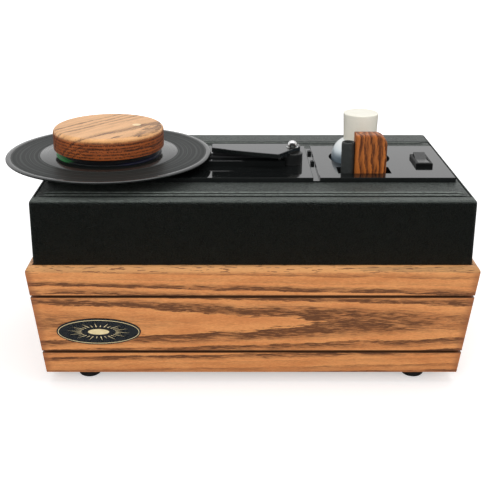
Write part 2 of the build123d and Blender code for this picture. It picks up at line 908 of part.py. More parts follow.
tip_front = Vector(cab_x + arm_tip_x, front_y + arm_tip_front_y)
tip_back = Vector(cab_x + arm_tip_x, front_y + arm_back_y)
elbow = Vector(cab_x + arm_elbow_x, front_y + arm_elbow_y)
end_front = Vector(cab_x + arm_end_x, front_y + arm_end_y)
end_back = Vector(cab_x + arm_end_x, front_y + arm_back_y)
front_run = elbow - tip_front
bow = Vector(front_run.Y, -front_run.X).normalized() * arm_front_bow
with BuildPart() as cover_arm:
    with BuildSketch(Plane.XY.offset(arm_under)):
        with BuildLine():
            ThreePointArc(tip_front, (tip_front + elbow) * 0.5 + bow, elbow)
            Polyline(elbow, end_front, end_back, tip_back, tip_front)
        face = make_face()
        fillet(face.vertices(), arm_corner_r)
    extrude(amount=arm_t)
    chamfer(cover_arm.faces().sort_by(Axis.Z)[-1].edges(), arm_edge)
    with BuildSketch(Plane.XY.offset(arm_under)):
        with Locations(pivot):
            Circle(pivot_bolt_d / 2 + running_gap)
    extrude(amount=arm_t, mode=Mode.SUBTRACT)
with BuildPart() as arm_pad:
    with BuildSketch(Plane.XY.offset(pad_under)):
        with BuildLine():
            Polyline(
                (cab_x + pad_tip_x, front_y + pad_tip_y),
                (cab_x + pad_elbow_x, front_y + pad_elbow_y),
                (cab_x + pivot_x, front_y + pad_elbow_y),
                (cab_x + pivot_x, front_y + pad_back_y),
                (cab_x + pad_tip_x, front_y + pad_back_y),
                close=True,
            )
        make_face()
        with Locations(pivot):
            Circle(post_d / 2 + 2 * moving_gap, mode=Mode.SUBTRACT)
            Rectangle(
                post_d, 2 * post_d, align=(Align.MIN, Align.CENTER), mode=Mode.SUBTRACT
            )
    extrude(amount=arm_under - pad_under)

bolt_under = panel_under - pivot_head_h
pivot_bolt = turned(
    pivot,
    (0, pivot_head_d, bolt_under, panel_under),
    (0, pivot_bolt_d, panel_under, nut_under + dome_nut_skirt),
)
arm_washer = turned(
    pivot, (pivot_bolt_d + 2 * screw_gap, arm_washer_d, washer_under, nut_under)
)
with BuildPart() as dome_nut:
    with BuildSketch(upright(pivot)):
        with BuildLine():
            TangentArc(
                (0, nut_under + dome_nut_h),
                (dome_nut_d / 2, nut_under + dome_nut_skirt),
                tangent=(1, 0),
            )
            Polyline(
                (dome_nut_d / 2, nut_under + dome_nut_skirt),
                (dome_nut_d / 2, nut_under),
                (0, nut_under),
                (0, nut_under + dome_nut_h),
            )
        make_face()
    revolve(axis=Axis((*pivot, 0), (0, 0, 1)))
    with BuildSketch(Plane.XY.offset(nut_under)):
        with Locations(pivot):
            Circle(pivot_bolt_d / 2 + screw_gap)
    extrude(amount=dome_nut_skirt, mode=Mode.SUBTRACT)

# ---------------------------------------------------------------- bottle
bottle_r = bottle_d / 2
neck_r = neck_d / 2
neck_top = shoulder_top + neck_h
cap_low_r = cap_low_d / 2


def bottle_outline(inset):
    """Half the bottle's outline, moved in by a wall, from the base's middle to the neck's."""
    low = bottle_under + inset
    side = bottle_r - inset
    crown = shoulder_top - inset
    swell = (cap_low_r - neck_r) / 2
    Line((0, low), (side - bottle_base_r, low))
    RadiusArc((side - bottle_base_r, low), (side, low + bottle_base_r), -bottle_base_r)
    Line((side, low + bottle_base_r), (side, shoulder_low))
    shoulder = EllipticalCenterArc(
        (neck_r + swell - inset, shoulder_low),
        side - neck_r - swell + inset,
        crown - shoulder_low,
        start_angle=0,
        arc_size=90,
    )
    Polyline(
        shoulder @ 1,
        (neck_r - inset, crown),
        (neck_r - inset, neck_top),
        (0, neck_top),
        (0, low),
    )


bottle_axis = Axis((*bottle, 0), (0, 0, 1))
with BuildPart() as bottle_body:
    with BuildSketch(upright(bottle)):
        with BuildLine():
            bottle_outline(0)
        make_face()
    revolve(axis=bottle_axis)
    with BuildSketch(upright(bottle)):
        with BuildLine():
            bottle_outline(bottle_wall)
        make_face()
    revolve(axis=bottle_axis, mode=Mode.SUBTRACT)

with BuildPart() as bottle_spout:
    with BuildSketch(Plane.XY.offset(neck_top)):
        with Locations(bottle):
            Circle(spout_d / 2)
    extrude(amount=spout_collar_h)
    for height, wide in ((spout_collar_h, spout_shoulder_d), (spout_h, spout_tip_d)):
        with BuildSketch(Plane.XY.offset(neck_top + height)):
            with Locations(bottle):
                Circle(wide / 2)
    loft()
    with BuildSketch(Plane.XY.offset(neck_top)):
        with Locations(bottle):
            Circle(spout_hole_d / 2)
    extrude(amount=spout_h, mode=Mode.SUBTRACT)

with BuildPart() as bottle_cap:
    for height, wide in ((cap_under, cap_low_d), (cap_top, cap_top_d)):
        with BuildSketch(Plane.XY.offset(height)):
            with Locations(bottle):
                Circle(wide / 2)
    loft()
    fillet(bottle_cap.edges().group_by(Axis.Z)[-1], cap_edge_r)
    for height, wide in ((cap_under, cap_low_d), (cap_top - cap_wall, cap_top_d)):
        with BuildSketch(Plane.XY.offset(height)):
            with Locations(bottle):
                Circle(wide / 2 - cap_wall)
    loft(mode=Mode.SUBTRACT)

# ---------------------------------------------------------------- brush
with BuildPart() as brush_handle:
    with BuildSketch(upright((handle_mid_x, slot_mid[1]))):
        with Locations((0, handle_under)):
            outline = Rectangle(handle_w, handle_l, align=(Align.CENTER, Align.MIN))
        top_corners = outline.vertices().group_by(Axis.Y)[-1].sort_by(Axis.X)
        fillet(top_corners[-1], handle_big_r)
        top_left = outline.vertices().group_by(Axis.Y)[-1].sort_by(Axis.X)[0]
        fillet(top_left, handle_small_r)
        fillet(outline.vertices().group_by(Axis.Y)[0], handle_small_r)
    extrude(amount=handle_d / 2, both=True)
    faces = brush_handle.faces().sort_by(Axis.Y)
    fillet(faces[0].edges() + faces[-1].edges(), handle_edge_r)
    with BuildSketch(Plane.XY.offset(handle_under)):
        with Locations((sleeve_x, slot_mid[1])):
            Circle(sleeve_d / 2)
    extrude(amount=handle_l, mode=Mode.SUBTRACT)

with BuildPart() as foam_sleeve:
    with BuildSketch(Plane.XY.offset(sleeve_under)):
        with Locations((sleeve_x, slot_mid[1])):
            Circle(sleeve_d / 2)
            Circle(sleeve_bore_d / 2, mode=Mode.SUBTRACT)
    extrude(amount=sleeve_l)
    fillet(foam_sleeve.edges().group_by(Axis.Z)[-1], sleeve_edge_r)

# ---------------------------------------------------------------- well for bottle and brush
well_floor_bottle = bottle_under - well_wall
brush_low = min(handle_under, sleeve_under)
well_floor_brush = brush_low - moving_gap - well_wall
with BuildPart() as accessory_well:
    with BuildSketch(Plane.XY.offset(well_floor_bottle)):
        with Locations(bottle):
            Circle(bottle_hole_d / 2 + well_wall)
    extrude(amount=panel_under - well_floor_bottle)
    with BuildSketch(Plane.XY.offset(well_floor_brush)):
        with Locations(slot_mid):
            Rectangle(brush_slot_w + 2 * well_wall, brush_slot_d + 2 * well_wall)
    extrude(amount=panel_under - well_floor_brush)
    with BuildSketch(Plane.XY.offset(panel_under)):
        with Locations(bottle):
            Circle(bottle_hole_d / 2 + well_flange)
        with Locations(slot_mid):
            Rectangle(brush_slot_w + 2 * well_flange, brush_slot_d + 2 * well_flange)
    extrude(amount=-well_flange_t)
    with BuildSketch(Plane.XY.offset(bottle_under)):
        with Locations(bottle):
            Circle(bottle_hole_d / 2)
    extrude(amount=panel_under - bottle_under, mode=Mode.SUBTRACT)
    with BuildSketch(Plane.XY.offset(well_floor_brush + well_wall)):
        with Locations(slot_mid):
            Rectangle(brush_slot_w, brush_slot_d)
    extrude(amount=panel_under - well_floor_brush - well_wall, mode=Mode.SUBTRACT)

# ---------------------------------------------------------------- rocker switch
switch_under = deck_top - switch_body_deep
rocker_r = rocker_l / 2
rocker_z = deck_top + rocker_pivot_up
window_w = rocker_w + 2 * rocker_side_gap
window_l = rocker_l + 2 * rocker_side_gap
rocker_plane = Plane(origin=(*switch, rocker_z), x_dir=(0, 1, 0), z_dir=(1, 0, 0))
with BuildPart() as switch_body:
    with BuildSketch(Plane.XY.offset(deck_top)):
        with Locations(switch):
            Rectangle(bezel_w, bezel_l)
    extrude(amount=bezel_h)
    chamfer(switch_body.faces().sort_by(Axis.Z)[-1].edges(), bezel_edge)
    with BuildSketch(Plane.XY.offset(switch_under)):
        with Locations(switch):
            Rectangle(switch_body_w, switch_body_l)
    extrude(amount=switch_body_deep)
    with BuildSketch(Plane.XY.offset(rocker_z - rocker_r)):
        with Locations(switch):
            Rectangle(window_w, window_l)
    extrude(amount=rocker_r + bezel_h, mode=Mode.SUBTRACT)
    with BuildSketch(rocker_plane):
        Circle(rocker_pin_d / 2)
    extrude(amount=switch_body_w / 2, both=True)

with BuildPart() as level_rocker:
    with BuildSketch(rocker_plane):
        Circle(rocker_r)
        with Locations((0, -rocker_deep)):
            Rectangle(rocker_l, rocker_l, align=(Align.CENTER, Align.MAX), mode=Mode.SUBTRACT)
        for side, slope in ((Align.MIN, rocker_vee), (Align.MAX, -rocker_vee)):
            with Locations(Location((0, rocker_waist), slope)):
                Rectangle(rocker_l, rocker_l, align=(side, Align.MIN), mode=Mode.SUBTRACT)
        Circle(rocker_pin_d / 2 + running_gap, mode=Mode.SUBTRACT)
    extrude(amount=rocker_w / 2, both=True)
with BuildPart() as rocker:
    add(level_rocker.part.rotate(Axis((*switch, rocker_z), (1, 0, 0)), rocker_tilt))

# ---------------------------------------------------------------- waste tank
tank_mid = (cab_x + tank_x, 0)
tank_post_spots = mirrored_spots(
    tank_mid, tank_w / 2 - tank_screw_in, tank_d / 2 - tank_screw_in
)
with BuildPart() as waste_tank:
    with BuildSketch(Plane.XY.offset(panel_top)):
        with Locations(tank_mid):
            RectangleRounded(tank_w, tank_d, tank_screw_in)
    extrude(amount=tank_h)
    with BuildSketch(Plane.XY.offset(panel_top + tank_wall)):
        with Locations(tank_mid):
            Rectangle(tank_w - 2 * tank_wall, tank_d - 2 * tank_wall)
        with Locations(*tank_post_spots):
            Circle(tank_post_d / 2, mode=Mode.SUBTRACT)
            Rectangle(tank_post_d, tank_post_d, mode=Mode.SUBTRACT)
    extrude(amount=tank_h - tank_wall, mode=Mode.SUBTRACT)
    with BuildSketch(Plane.XY.offset(tank_top)):
        with Locations(*tank_post_spots):
            Circle(tank_screw_d / 2 + screw_gap)
    extrude(amount=-tank_screw_l, mode=Mode.SUBTRACT)
    with BuildSketch(drain_face.offset(tank_d / 2)):
        Circle(drain_d / 2)
    extrude(amount=drain_out - tank_d / 2)
    with BuildSketch(drain_face):
        Circle(drain_bore_d / 2)
    extrude(amount=base_d, mode=Mode.SUBTRACT)

motor_screw_r = fan_d / 2 + fan_flange / 2
motor_screw_spots = [
    (motor[0] + spot.position.X, motor[1] + spot.position.Y)
    for spot in PolarLocations(motor_screw_r, motor_screw_count, start_angle=90)
]
with BuildPart() as tank_lid:
    with BuildSketch(Plane.XY.offset(tank_top)):
        with Locations(tank_mid):
            RectangleRounded(tank_w, tank_d, tank_screw_in)
        with Locations(*tank_post_spots):
            Circle(tank_screw_d / 2 + screw_gap, mode=Mode.SUBTRACT)
        with Locations(*motor_screw_spots):
            Circle(tank_screw_d / 2 + screw_gap, mode=Mode.SUBTRACT)
        with Locations(motor):
            Circle(eye_d / 2, mode=Mode.SUBTRACT)
    extrude(amount=lid_t)
    with BuildSketch(Plane.XY.offset(lid_top)):
        with Locations(hose):
            Circle(nipple_d / 2)
    extrude(amount=nipple_l)
    with BuildSketch(Plane.XY.offset(tank_top)):
        with Locations(hose):
            Circle(nipple_bore / 2)
    extrude(amount=lid_t + nipple_l, mode=Mode.SUBTRACT)
with BuildPart() as tank_screws:
    for height, spots in (
        (lid_top, tank_post_spots),
        (fan_under + fan_wall, motor_screw_spots),
    ):
        add(
            screws(
                Plane.XY.offset(height),
                spots,
                tank_screw_d,
                tank_screw_head_d,
                tank_screw_head_h,
                tank_screw_l,
            ).part
        )

suction_hose = turned(
    hose, (hose_bore_d, hose_d, lid_top + seat_gap, plenum_under - seat_gap)
)
with BuildPart() as hose_clamps:
    for low in (lid_top + nipple_l - clamp_w, plenum_under - nipple_l):
        with BuildSketch(Plane.XY.offset(low)):
            with Locations(hose):
                Circle(hose_d / 2 + seat_gap + clamp_t)
                with Locations((hose_d / 2 + clamp_t, 0)):
                    Rectangle(clamp_block, clamp_block, align=(Align.MIN, Align.CENTER))
                Circle(hose_d / 2 + seat_gap, mode=Mode.SUBTRACT)
        extrude(amount=clamp_w)

# Plug that pulls out of the drain spout
with BuildPart() as drain_plug:
    with BuildSketch(drain_face.offset(drain_out)):
        Circle(plug_head_d / 2)
    extrude(amount=plug_head_t)
    fillet(drain_plug.faces().sort_by(Axis.Y)[-1].edges(), plug_edge_r)
    with BuildSketch(drain_face.offset(drain_out)):
        Circle(drain_bore_d / 2 - running_gap)
    extrude(amount=-plug_shank_l)

# ---------------------------------------------------------------- vacuum motor
motor_side = Plane(origin=(*motor, 0), x_dir=(-1, 0, 0), z_dir=(0, 1, 0))
with BuildPart() as fan_housing:
    with BuildSketch(Plane.XY.offset(fan_under)):
        with Locations(motor):
            Circle(fan_d / 2)
    extrude(amount=fan_h)
    fillet(fan_housing.edges().group_by(Axis.Z)[-1], fan_wall)
    with BuildSketch(Plane.XY.offset(fan_under)):
        with Locations(motor):
            Circle(fan_d / 2 + fan_flange)
        with Locations(*motor_screw_spots):
            Circle(tank_screw_d / 2 + screw_gap, mode=Mode.SUBTRACT)
    extrude(amount=fan_wall)
    with BuildSketch(Plane.XY.offset(fan_under + fan_wall)):
        with Locations(motor):
            Circle(fan_d / 2 - fan_wall)
    extrude(amount=fan_h - 2 * fan_wall, mode=Mode.SUBTRACT)
    with BuildSketch(Plane.XY.offset(fan_under)):
        with Locations(motor):
            Circle(eye_d / 2)
    extrude(amount=fan_wall, mode=Mode.SUBTRACT)
    with BuildSketch(Plane.XY.offset(fan_top)):
        with Locations(motor):
            Circle(bearing_d / 2 + screw_gap)
    extrude(amount=-fan_wall, mode=Mode.SUBTRACT)
    with BuildSketch(motor_side):
        with Locations((0, fan_under + fan_h / 2)):
            Rectangle(port_w, port_h)
    extrude(amount=fan_d, mode=Mode.SUBTRACT)

frame_roof = frame_top - frame_wall
with BuildPart() as motor_frame:
    with BuildSketch(Plane.XY.offset(fan_top)):
        with Locations(motor):
            Circle(frame_d / 2)
    extrude(amount=frame_h)
    fillet(motor_frame.edges().group_by(Axis.Z)[-1], frame_wall)
    with BuildSketch(Plane.XY.offset(fan_top)):
        with Locations(motor):
            Circle(frame_d / 2 - frame_wall)
    extrude(amount=frame_h - frame_wall, mode=Mode.SUBTRACT)
    with BuildSketch(motor_side):
        with Locations((0, fan_top + frame_h / 2)):
            Rectangle(frame_window_w, frame_window_h)
    extrude(amount=frame_d, both=True, mode=Mode.SUBTRACT)
    with BuildSketch(Plane.XY.offset(frame_roof)):
        with Locations(motor):
            Circle(bearing_d / 2 + frame_wall)
            Circle(bearing_d / 2 + screw_gap, mode=Mode.SUBTRACT)
    extrude(amount=-bearing_t)

shaft_hole = motor_shaft_d + 2 * running_gap
lower_bearing = fan_top - fan_wall
upper_bearing = frame_roof - bearing_t
motor_bearings = turned(
    motor,
    (shaft_hole, bearing_d, lower_bearing, lower_bearing + bearing_t),
    (shaft_hole, bearing_d, upper_bearing, upper_bearing + bearing_t),
)
impeller_d = fan_d - 2 * (fan_wall + impeller_side_gap)
impeller_under = fan_under + fan_wall + impeller_gap
armature_under = lower_bearing + bearing_t + impeller_gap
shaft_top = frame_roof - moving_gap
armature_top = armature_under + armature_l
motor_rotor = turned(
    motor,
    (0, motor_shaft_d, impeller_under, armature_under),
    (0, armature_d, armature_under, armature_top),
    (0, motor_shaft_d, armature_top, shaft_top),
)
with BuildPart() as impeller:
    with BuildSketch(Plane.XY.offset(impeller_under)):
        with Locations(motor):
            Circle(hub_d / 2)
            for blade in range(impeller_blades):
                with Locations(Location((0, 0), blade * 360 / impeller_blades)):
                    Rectangle(
                        impeller_d / 2, blade_t, align=(Align.MIN, Align.CENTER)
                    )
    extrude(amount=impeller_h)
    with BuildSketch(Plane.XY.offset(impeller_under + impeller_h - impeller_disc_t)):
        with Locations(motor):
            Circle(impeller_d / 2)
    extrude(amount=impeller_disc_t)
    with BuildSketch(Plane.XY.offset(impeller_under)):
        with Locations(motor):
            Circle(motor_shaft_d / 2)
    extrude(amount=impeller_h, mode=Mode.SUBTRACT)

# ---------------------------------------------------------------- back of the case
with BuildPart() as mains_inlet:
    with BuildSketch(back_face):
        with Locations(inlet_spot):
            RectangleRounded(inlet_flange_w, inlet_flange_h, inlet_corner_r)
        with Locations(*inlet_screw_spots):
            Circle(rear_screw_d / 2 + screw_gap, mode=Mode.SUBTRACT)
    extrude(amount=rear_flange_t)
    with BuildSketch(back_face):
        with Locations(inlet_spot):
            Rectangle(inlet_body_w, inlet_body_h)
    extrude(amount=-inlet_body_l)
    with BuildSketch(back_face.offset(rear_flange_t)):
        with Locations(inlet_spot):
            Rectangle(inlet_cavity_w, inlet_cavity_h)
    extrude(amount=-inlet_cavity_l - rear_flange_t, mode=Mode.SUBTRACT)
    with BuildSketch(back_face):
        with Locations(inlet_spot):
            with Locations(*inlet_pin_spots):
                Rectangle(inlet_pin_w, inlet_pin_h)
    extrude(amount=-inlet_body_l, mode=Mode.SUBTRACT)
with BuildPart() as inlet_pins:
    with BuildSketch(back_face.offset(-inlet_cavity_l + inlet_pin_free)):
        with Locations(inlet_spot):
            with Locations(*inlet_pin_spots):
                Rectangle(inlet_pin_w, inlet_pin_h)
    extrude(amount=-(inlet_pin_free + inlet_body_l - inlet_cavity_l + inlet_pin_tail))

with BuildPart() as exhaust_grille:
    with BuildSketch(back_face):
        with Locations(grille_spot):
            RectangleRounded(grille_w, grille_h, inlet_corner_r)
            with GridLocations(grille_pitch, grille_h, grille_slots, 1):
                SlotOverall(grille_slot_l, grille_slot_w, rotation=90, mode=Mode.SUBTRACT)
        with Locations(*grille_screw_spots):
            Circle(rear_screw_d / 2 + screw_gap, mode=Mode.SUBTRACT)
    extrude(amount=rear_flange_t)

rear_screws = screws(
    back_face.offset(rear_flange_t),
    inlet_screw_spots + grille_screw_spots,
    rear_screw_d,
    rear_screw_head_d,
    rear_screw_head_h,
    rear_screw_l,
)

# ---------------------------------------------------------------- write the pieces
pieces = {
    "base_front_board": base_front_board,
    "base_back_board": base_back_board,
    "base_left_board": base_left_board,
    "base_right_board": base_right_board,
    "corner_blocks": corner_blocks,
    "bottom_panel": bottom_panel,
    "base_screws": base_screws,
    "rubber_feet": rubber_feet,
    "badge": badge,
    "case_shell": case_shell,
    "top_panel": top_panel,
    "rear_strip": rear_strip,
    "deck_base_plate": deck_base_plate,
    "left_deck_plate": left_deck_plate,
    "right_deck_plate": right_deck_plate,
    "channel_clips": channel_clips,
    "spindle_bush": spindle_bush,
    "bush_nut": bush_nut,
    "thrust_washer": thrust_washer,
    "spindle": spindle,
    "spindle_clip": spindle_clip,
    "platter": platter,
    "platter_mat": platter_mat,
    "record": record,
    "record_label": record_label,
    "puck": puck,
    "puck_pad": puck_pad,
    "slot_bar": slot_bar,
    "slot_lips": slot_lips,
    "bar_screws": bar_screws,
    "vacuum_plenum": vacuum_plenum,
    "pivot_post": pivot_post,
    "pivot_bolt": pivot_bolt,
    "dome_nut": dome_nut,
    "cover_arm": cover_arm,
    "arm_pad": arm_pad,
    "bottle_body": bottle_body,
    "bottle_spout": bottle_spout,
    "bottle_cap": bottle_cap,
    "brush_handle": brush_handle,
    "foam_sleeve": foam_sleeve,
    "accessory_well": accessory_well,
    "switch_body": switch_body,
    "rocker": rocker,
    "waste_tank": waste_tank,
    "tank_lid": tank_lid,
    "tank_screws": tank_screws,
    "drain_plug": drain_plug,
    "suction_hose": suction_hose,
    "hose_clamps": hose_clamps,
    "fan_housing": fan_housing,
    "motor_frame": motor_frame,
    "motor_bearings": motor_bearings,
    "motor_rotor": motor_rotor,
    "impeller": impeller,
    "mains_inlet": mains_inlet,
    "exhaust_grille": exhaust_grille,
    "rear_screws": rear_screws,
    "arm_washer": arm_washer,
    "inlet_pins": inlet_pins,
}
for name, piece in pieces.items():
    piece.part.label = name
    export_step(piece.part, f"parts/{name}.step")
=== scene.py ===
import math

import bmesh
import bpy
from mathutils.noise import noise as noise_at
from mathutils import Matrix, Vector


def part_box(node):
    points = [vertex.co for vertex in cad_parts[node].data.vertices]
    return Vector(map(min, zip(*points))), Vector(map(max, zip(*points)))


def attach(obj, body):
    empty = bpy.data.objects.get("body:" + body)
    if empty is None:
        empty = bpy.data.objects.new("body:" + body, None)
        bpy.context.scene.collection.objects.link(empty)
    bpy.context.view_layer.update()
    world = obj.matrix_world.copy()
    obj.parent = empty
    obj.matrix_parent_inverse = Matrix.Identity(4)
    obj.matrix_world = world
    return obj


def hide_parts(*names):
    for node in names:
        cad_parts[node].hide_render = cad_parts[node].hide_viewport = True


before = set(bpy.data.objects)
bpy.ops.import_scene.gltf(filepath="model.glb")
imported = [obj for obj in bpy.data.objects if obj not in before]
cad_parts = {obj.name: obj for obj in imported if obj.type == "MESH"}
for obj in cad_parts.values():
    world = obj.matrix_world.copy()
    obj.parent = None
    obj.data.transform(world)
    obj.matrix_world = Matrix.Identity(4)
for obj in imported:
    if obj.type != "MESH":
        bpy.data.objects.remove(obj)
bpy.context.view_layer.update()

# ---------------------------------------------------------------- studio
# A pale table top under soft overhead light, seen from the front and above.
# The table and the room are white to the eye; in reflections the table is dark grey and the room dims towards
# the front. The table keeps the shadow.


def new_object(name, data):
    """An object in the scene."""
    made = bpy.data.objects.new(name, data)
    bpy.context.scene.collection.objects.link(made)
    return made


look_down = 18.28
camera_data = bpy.data.cameras.new("camera")
camera_data.sensor_width = 36.0
camera_data.lens = 64.15
camera_data.shift_x = 0.038
camera_data.shift_y = -0.12
camera_data.clip_start = 0.05
camera = new_object("camera", camera_data)
camera.location = (-0.0015, -0.7476, 0.3832)
camera.rotation_euler = (math.radians(90 - look_down), 0, 0)
bpy.context.scene.camera = camera
bpy.context.scene.view_settings.view_transform = "Standard"


def add_node(tree, kind, inputs=None, **settings):
    """A node with its settings; each input is a value or a socket to link from."""
    made = tree.nodes.new(kind)
    for key, value in settings.items():
        setattr(made, key, value)
    for key, value in (inputs or {}).items():
        if isinstance(value, bpy.types.NodeSocket):
            tree.links.new(value, made.inputs[key])
        else:
            made.inputs[key].default_value = value
    return made


def calc(tree, operation, first, second=0.0, third=0.0, clamp=False):
    """One step of arithmetic, as a socket."""
    inputs = {0: first, 1: second, 2: third}
    return add_node(tree, "ShaderNodeMath", inputs, operation=operation, use_clamp=clamp).outputs[0]


def vector_calc(tree, operation, first, second=(0, 0, 0)):
    """One step of vector arithmetic, as a socket."""
    inputs = {0: first, "Scale" if operation == "SCALE" else 1: second}
    outputs = add_node(tree, "ShaderNodeVectorMath", inputs, operation=operation).outputs
    return outputs["Value" if operation in ("LENGTH", "DISTANCE", "DOT_PRODUCT") else "Vector"]


def split(tree, vector):
    """The three parts of a vector."""
    return add_node(tree, "ShaderNodeSeparateXYZ", {0: vector}).outputs


def ramp(tree, value, low, high, out_low=0.0, out_high=1.0, shape="SMOOTHSTEP"):
    """A rise or fall from one value to another, soft at its ends unless the shape says otherwise."""
    inputs = {"Value": value, "From Min": low, "From Max": high, "To Min": out_low, "To Max": out_high}
    return add_node(tree, "ShaderNodeMapRange", inputs, interpolation_type=shape).outputs[0]


def mix_colour(tree, factor, first, second, blend="MIX"):
    """A blend of two colours, as a socket."""
    inputs = {0: factor, 6: first, 7: second}
    return add_node(tree, "ShaderNodeMix", inputs, data_type="RGBA", blend_type=blend).outputs[2]


room_light = 0.45
front_gloss = 0.04  # the room behind the camera stays dim in reflections
world = bpy.data.worlds.new("room")
bpy.context.scene.world = world
world.use_nodes = True
room = world.node_tree
ray = add_node(room, "ShaderNodeLightPath").outputs
seen_white = calc(room, "MAXIMUM", ray["Is Camera Ray"], ray["Is Transmission Ray"])
toward_back = split(room, add_node(room, "ShaderNodeTexCoord").outputs["Generated"])[1]
mirrored = ramp(room, toward_back, -0.45, 0.1, front_gloss, 1.0, "LINEAR")
lit = calc(room, "MULTIPLY_ADD", seen_white, 1 - room_light, room_light)
shift = calc(room, "MULTIPLY", ray["Is Glossy Ray"], calc(room, "SUBTRACT", mirrored, room_light))
room.links.new(calc(room, "ADD", lit, shift), room.nodes["Background"].inputs["Strength"])
room.nodes["Background"].inputs["Color"].default_value = (1, 1, 1, 1)

# Each softbox: its place, its size, its watts, its turn and whether it shows in reflections
softboxes = (
    ("overhead", (0.1, 0.1, 1.5), (1.5, 1.0), 9.0, (0, 0, 0), True),
    ("front", (-0.5, -1.7, 1.0), (1.3, 1.0), 15.0, (58, 0, -16), False),
    ("right", (1.5, -0.7, 0.8), (0.9, 0.9), 4.0, (65, 0, 62), False),
)
for name, place, size, watts, turn, mirrors in softboxes:
    lamp = bpy.data.lights.new(name, "AREA")
    lamp.shape = "RECTANGLE"
    lamp.size, lamp.size_y = size
    lamp.energy = watts
    softbox = new_object(name, lamp)
    softbox.location = place
    softbox.rotation_euler = [math.radians(angle) for angle in turn]
    softbox.visible_glossy = mirrors

floor_half = 40.0
floor_lift = 0.42  # white added for the eye alone, so the table top reads as plain white
lift_near = 0.4
lift_far = 1.2
floor_mesh = bpy.data.meshes.new("floor")
corners = [(x * floor_half, y * floor_half, 0) for x, y in ((-1, -1), (1, -1), (1, 1), (-1, 1))]
floor_mesh.from_pydata(corners, [], [(0, 1, 2, 3)])
floor = new_object("floor", floor_mesh)
floor_material = bpy.data.materials.new("table_top")
floor_material.use_nodes = True
table = floor_material.node_tree
table.nodes.remove(table.nodes["Principled BSDF"])
ray = add_node(table, "ShaderNodeLightPath").outputs
away = vector_calc(table, "LENGTH", add_node(table, "ShaderNodeTexCoord").outputs["Object"])
lift = ramp(table, away, lift_near, lift_far, floor_lift, 1.0, "LINEAR")
lift = calc(table, "MULTIPLY", ray["Is Camera Ray"], lift)
tone = mix_colour(table, ray["Is Glossy Ray"], (0.86, 0.86, 0.86, 1), (0.1, 0.1, 0.1, 1))
matte = add_node(table, "ShaderNodeBsdfDiffuse", {"Color": tone})
glow = add_node(table, "ShaderNodeEmission", {"Strength": lift})
both = add_node(table, "ShaderNodeAddShader", {0: matte.outputs[0], 1: glow.outputs[0]})
table.links.new(both.outputs[0], table.nodes["Material Output"].inputs["Surface"])
floor_mesh.materials.append(floor_material)


# ---------------------------------------------------------------- oak surround
# Four mitred boards of plain-sawn oak lean outwards round the foot of the case.
# They are rounded along the rim, sawn with two shallow kerfs, and oiled to a satin finish.
def start_group(name, defaults):
    """A shader group from a vector, colours and numbers to three results: its tree and its inputs."""
    tree = bpy.data.node_groups.new(name, "ShaderNodeTree")
    tree.interface.new_socket("Vector", in_out="INPUT", socket_type="NodeSocketVector")
    for label, value in defaults.items():
        kind = "NodeSocketFloat" if isinstance(value, float) else "NodeSocketColor"
        tree.interface.new_socket(label, in_out="INPUT", socket_type=kind).default_value = value
    for label in ("Color", "Roughness", "Height"):
        kind = "NodeSocketColor" if label == "Color" else "NodeSocketFloat"
        tree.interface.new_socket(label, in_out="OUTPUT", socket_type=kind)
    return tree, tree.nodes.new("NodeGroupInput").outputs


def end_group(tree, colour, roughness, height):
    """Gives a group its three results."""
    add_node(tree, "NodeGroupOutput", {"Color": colour, "Roughness": roughness, "Height": height})


def noise(tree, vector, stretch, detail=2.0, roughness=0.5, output="Fac"):
    """Noise whose grain is finer along an axis with a larger stretch."""
    scaled = vector_calc(tree, "MULTIPLY", vector, stretch)
    inputs = {"Vector": scaled, "Scale": 1.0, "Detail": detail, "Roughness": roughness}
    return add_node(tree, "ShaderNodeTexNoise", inputs).outputs[output]


def chance(tree, number):
    """A fixed throw of chance from 0 to 1 for each whole number."""
    return add_node(tree, "ShaderNodeTexWhiteNoise", {"W": number}, noise_dimensions="1D").outputs["Value"]


# Oak in centimetres, x along the grain and the heart of the tree on the x axis
oak, given = start_group("oak_grain", {
    "Pale": (0.79, 0.34, 0.114, 1),
    "Warm": (0.64, 0.235, 0.071, 1),
    "Band": (0.165, 0.06, 0.02, 1),
    "Dark": (0.09, 0.035, 0.02, 1),
    "Ring Spacing": 0.6,
    "Taper": 0.03,
    "Wander": 0.5,
    "Band Width": 0.4,
    "Ragged": 0.16,
    "Ring Start": 0.0,
    "Strength": 1.0,
    "Luck": 0.0,
})
where = given["Vector"]
sway = vector_calc(oak, "SUBTRACT", noise(oak, where, (0.16, 0.4, 0.4), output="Color"), (0.5, 0.5, 0.5))
swayed = vector_calc(oak, "ADD", where, vector_calc(oak, "SCALE", sway, given["Wander"]))
from_heart = vector_calc(oak, "LENGTH", vector_calc(oak, "MULTIPLY", swayed, (0, 1, 1)))
reach = calc(oak, "MULTIPLY_ADD", split(oak, swayed)[0], given["Taper"], from_heart)
ragged = calc(oak, "SUBTRACT", noise(oak, where, (0.7, 6.0, 6.0), 4.0, 0.65), 0.5)
reach = calc(oak, "MULTIPLY_ADD", ragged, given["Ragged"], reach)
rings = calc(oak, "DIVIDE", calc(oak, "SUBTRACT", reach, given["Ring Start"]), given["Ring Spacing"])
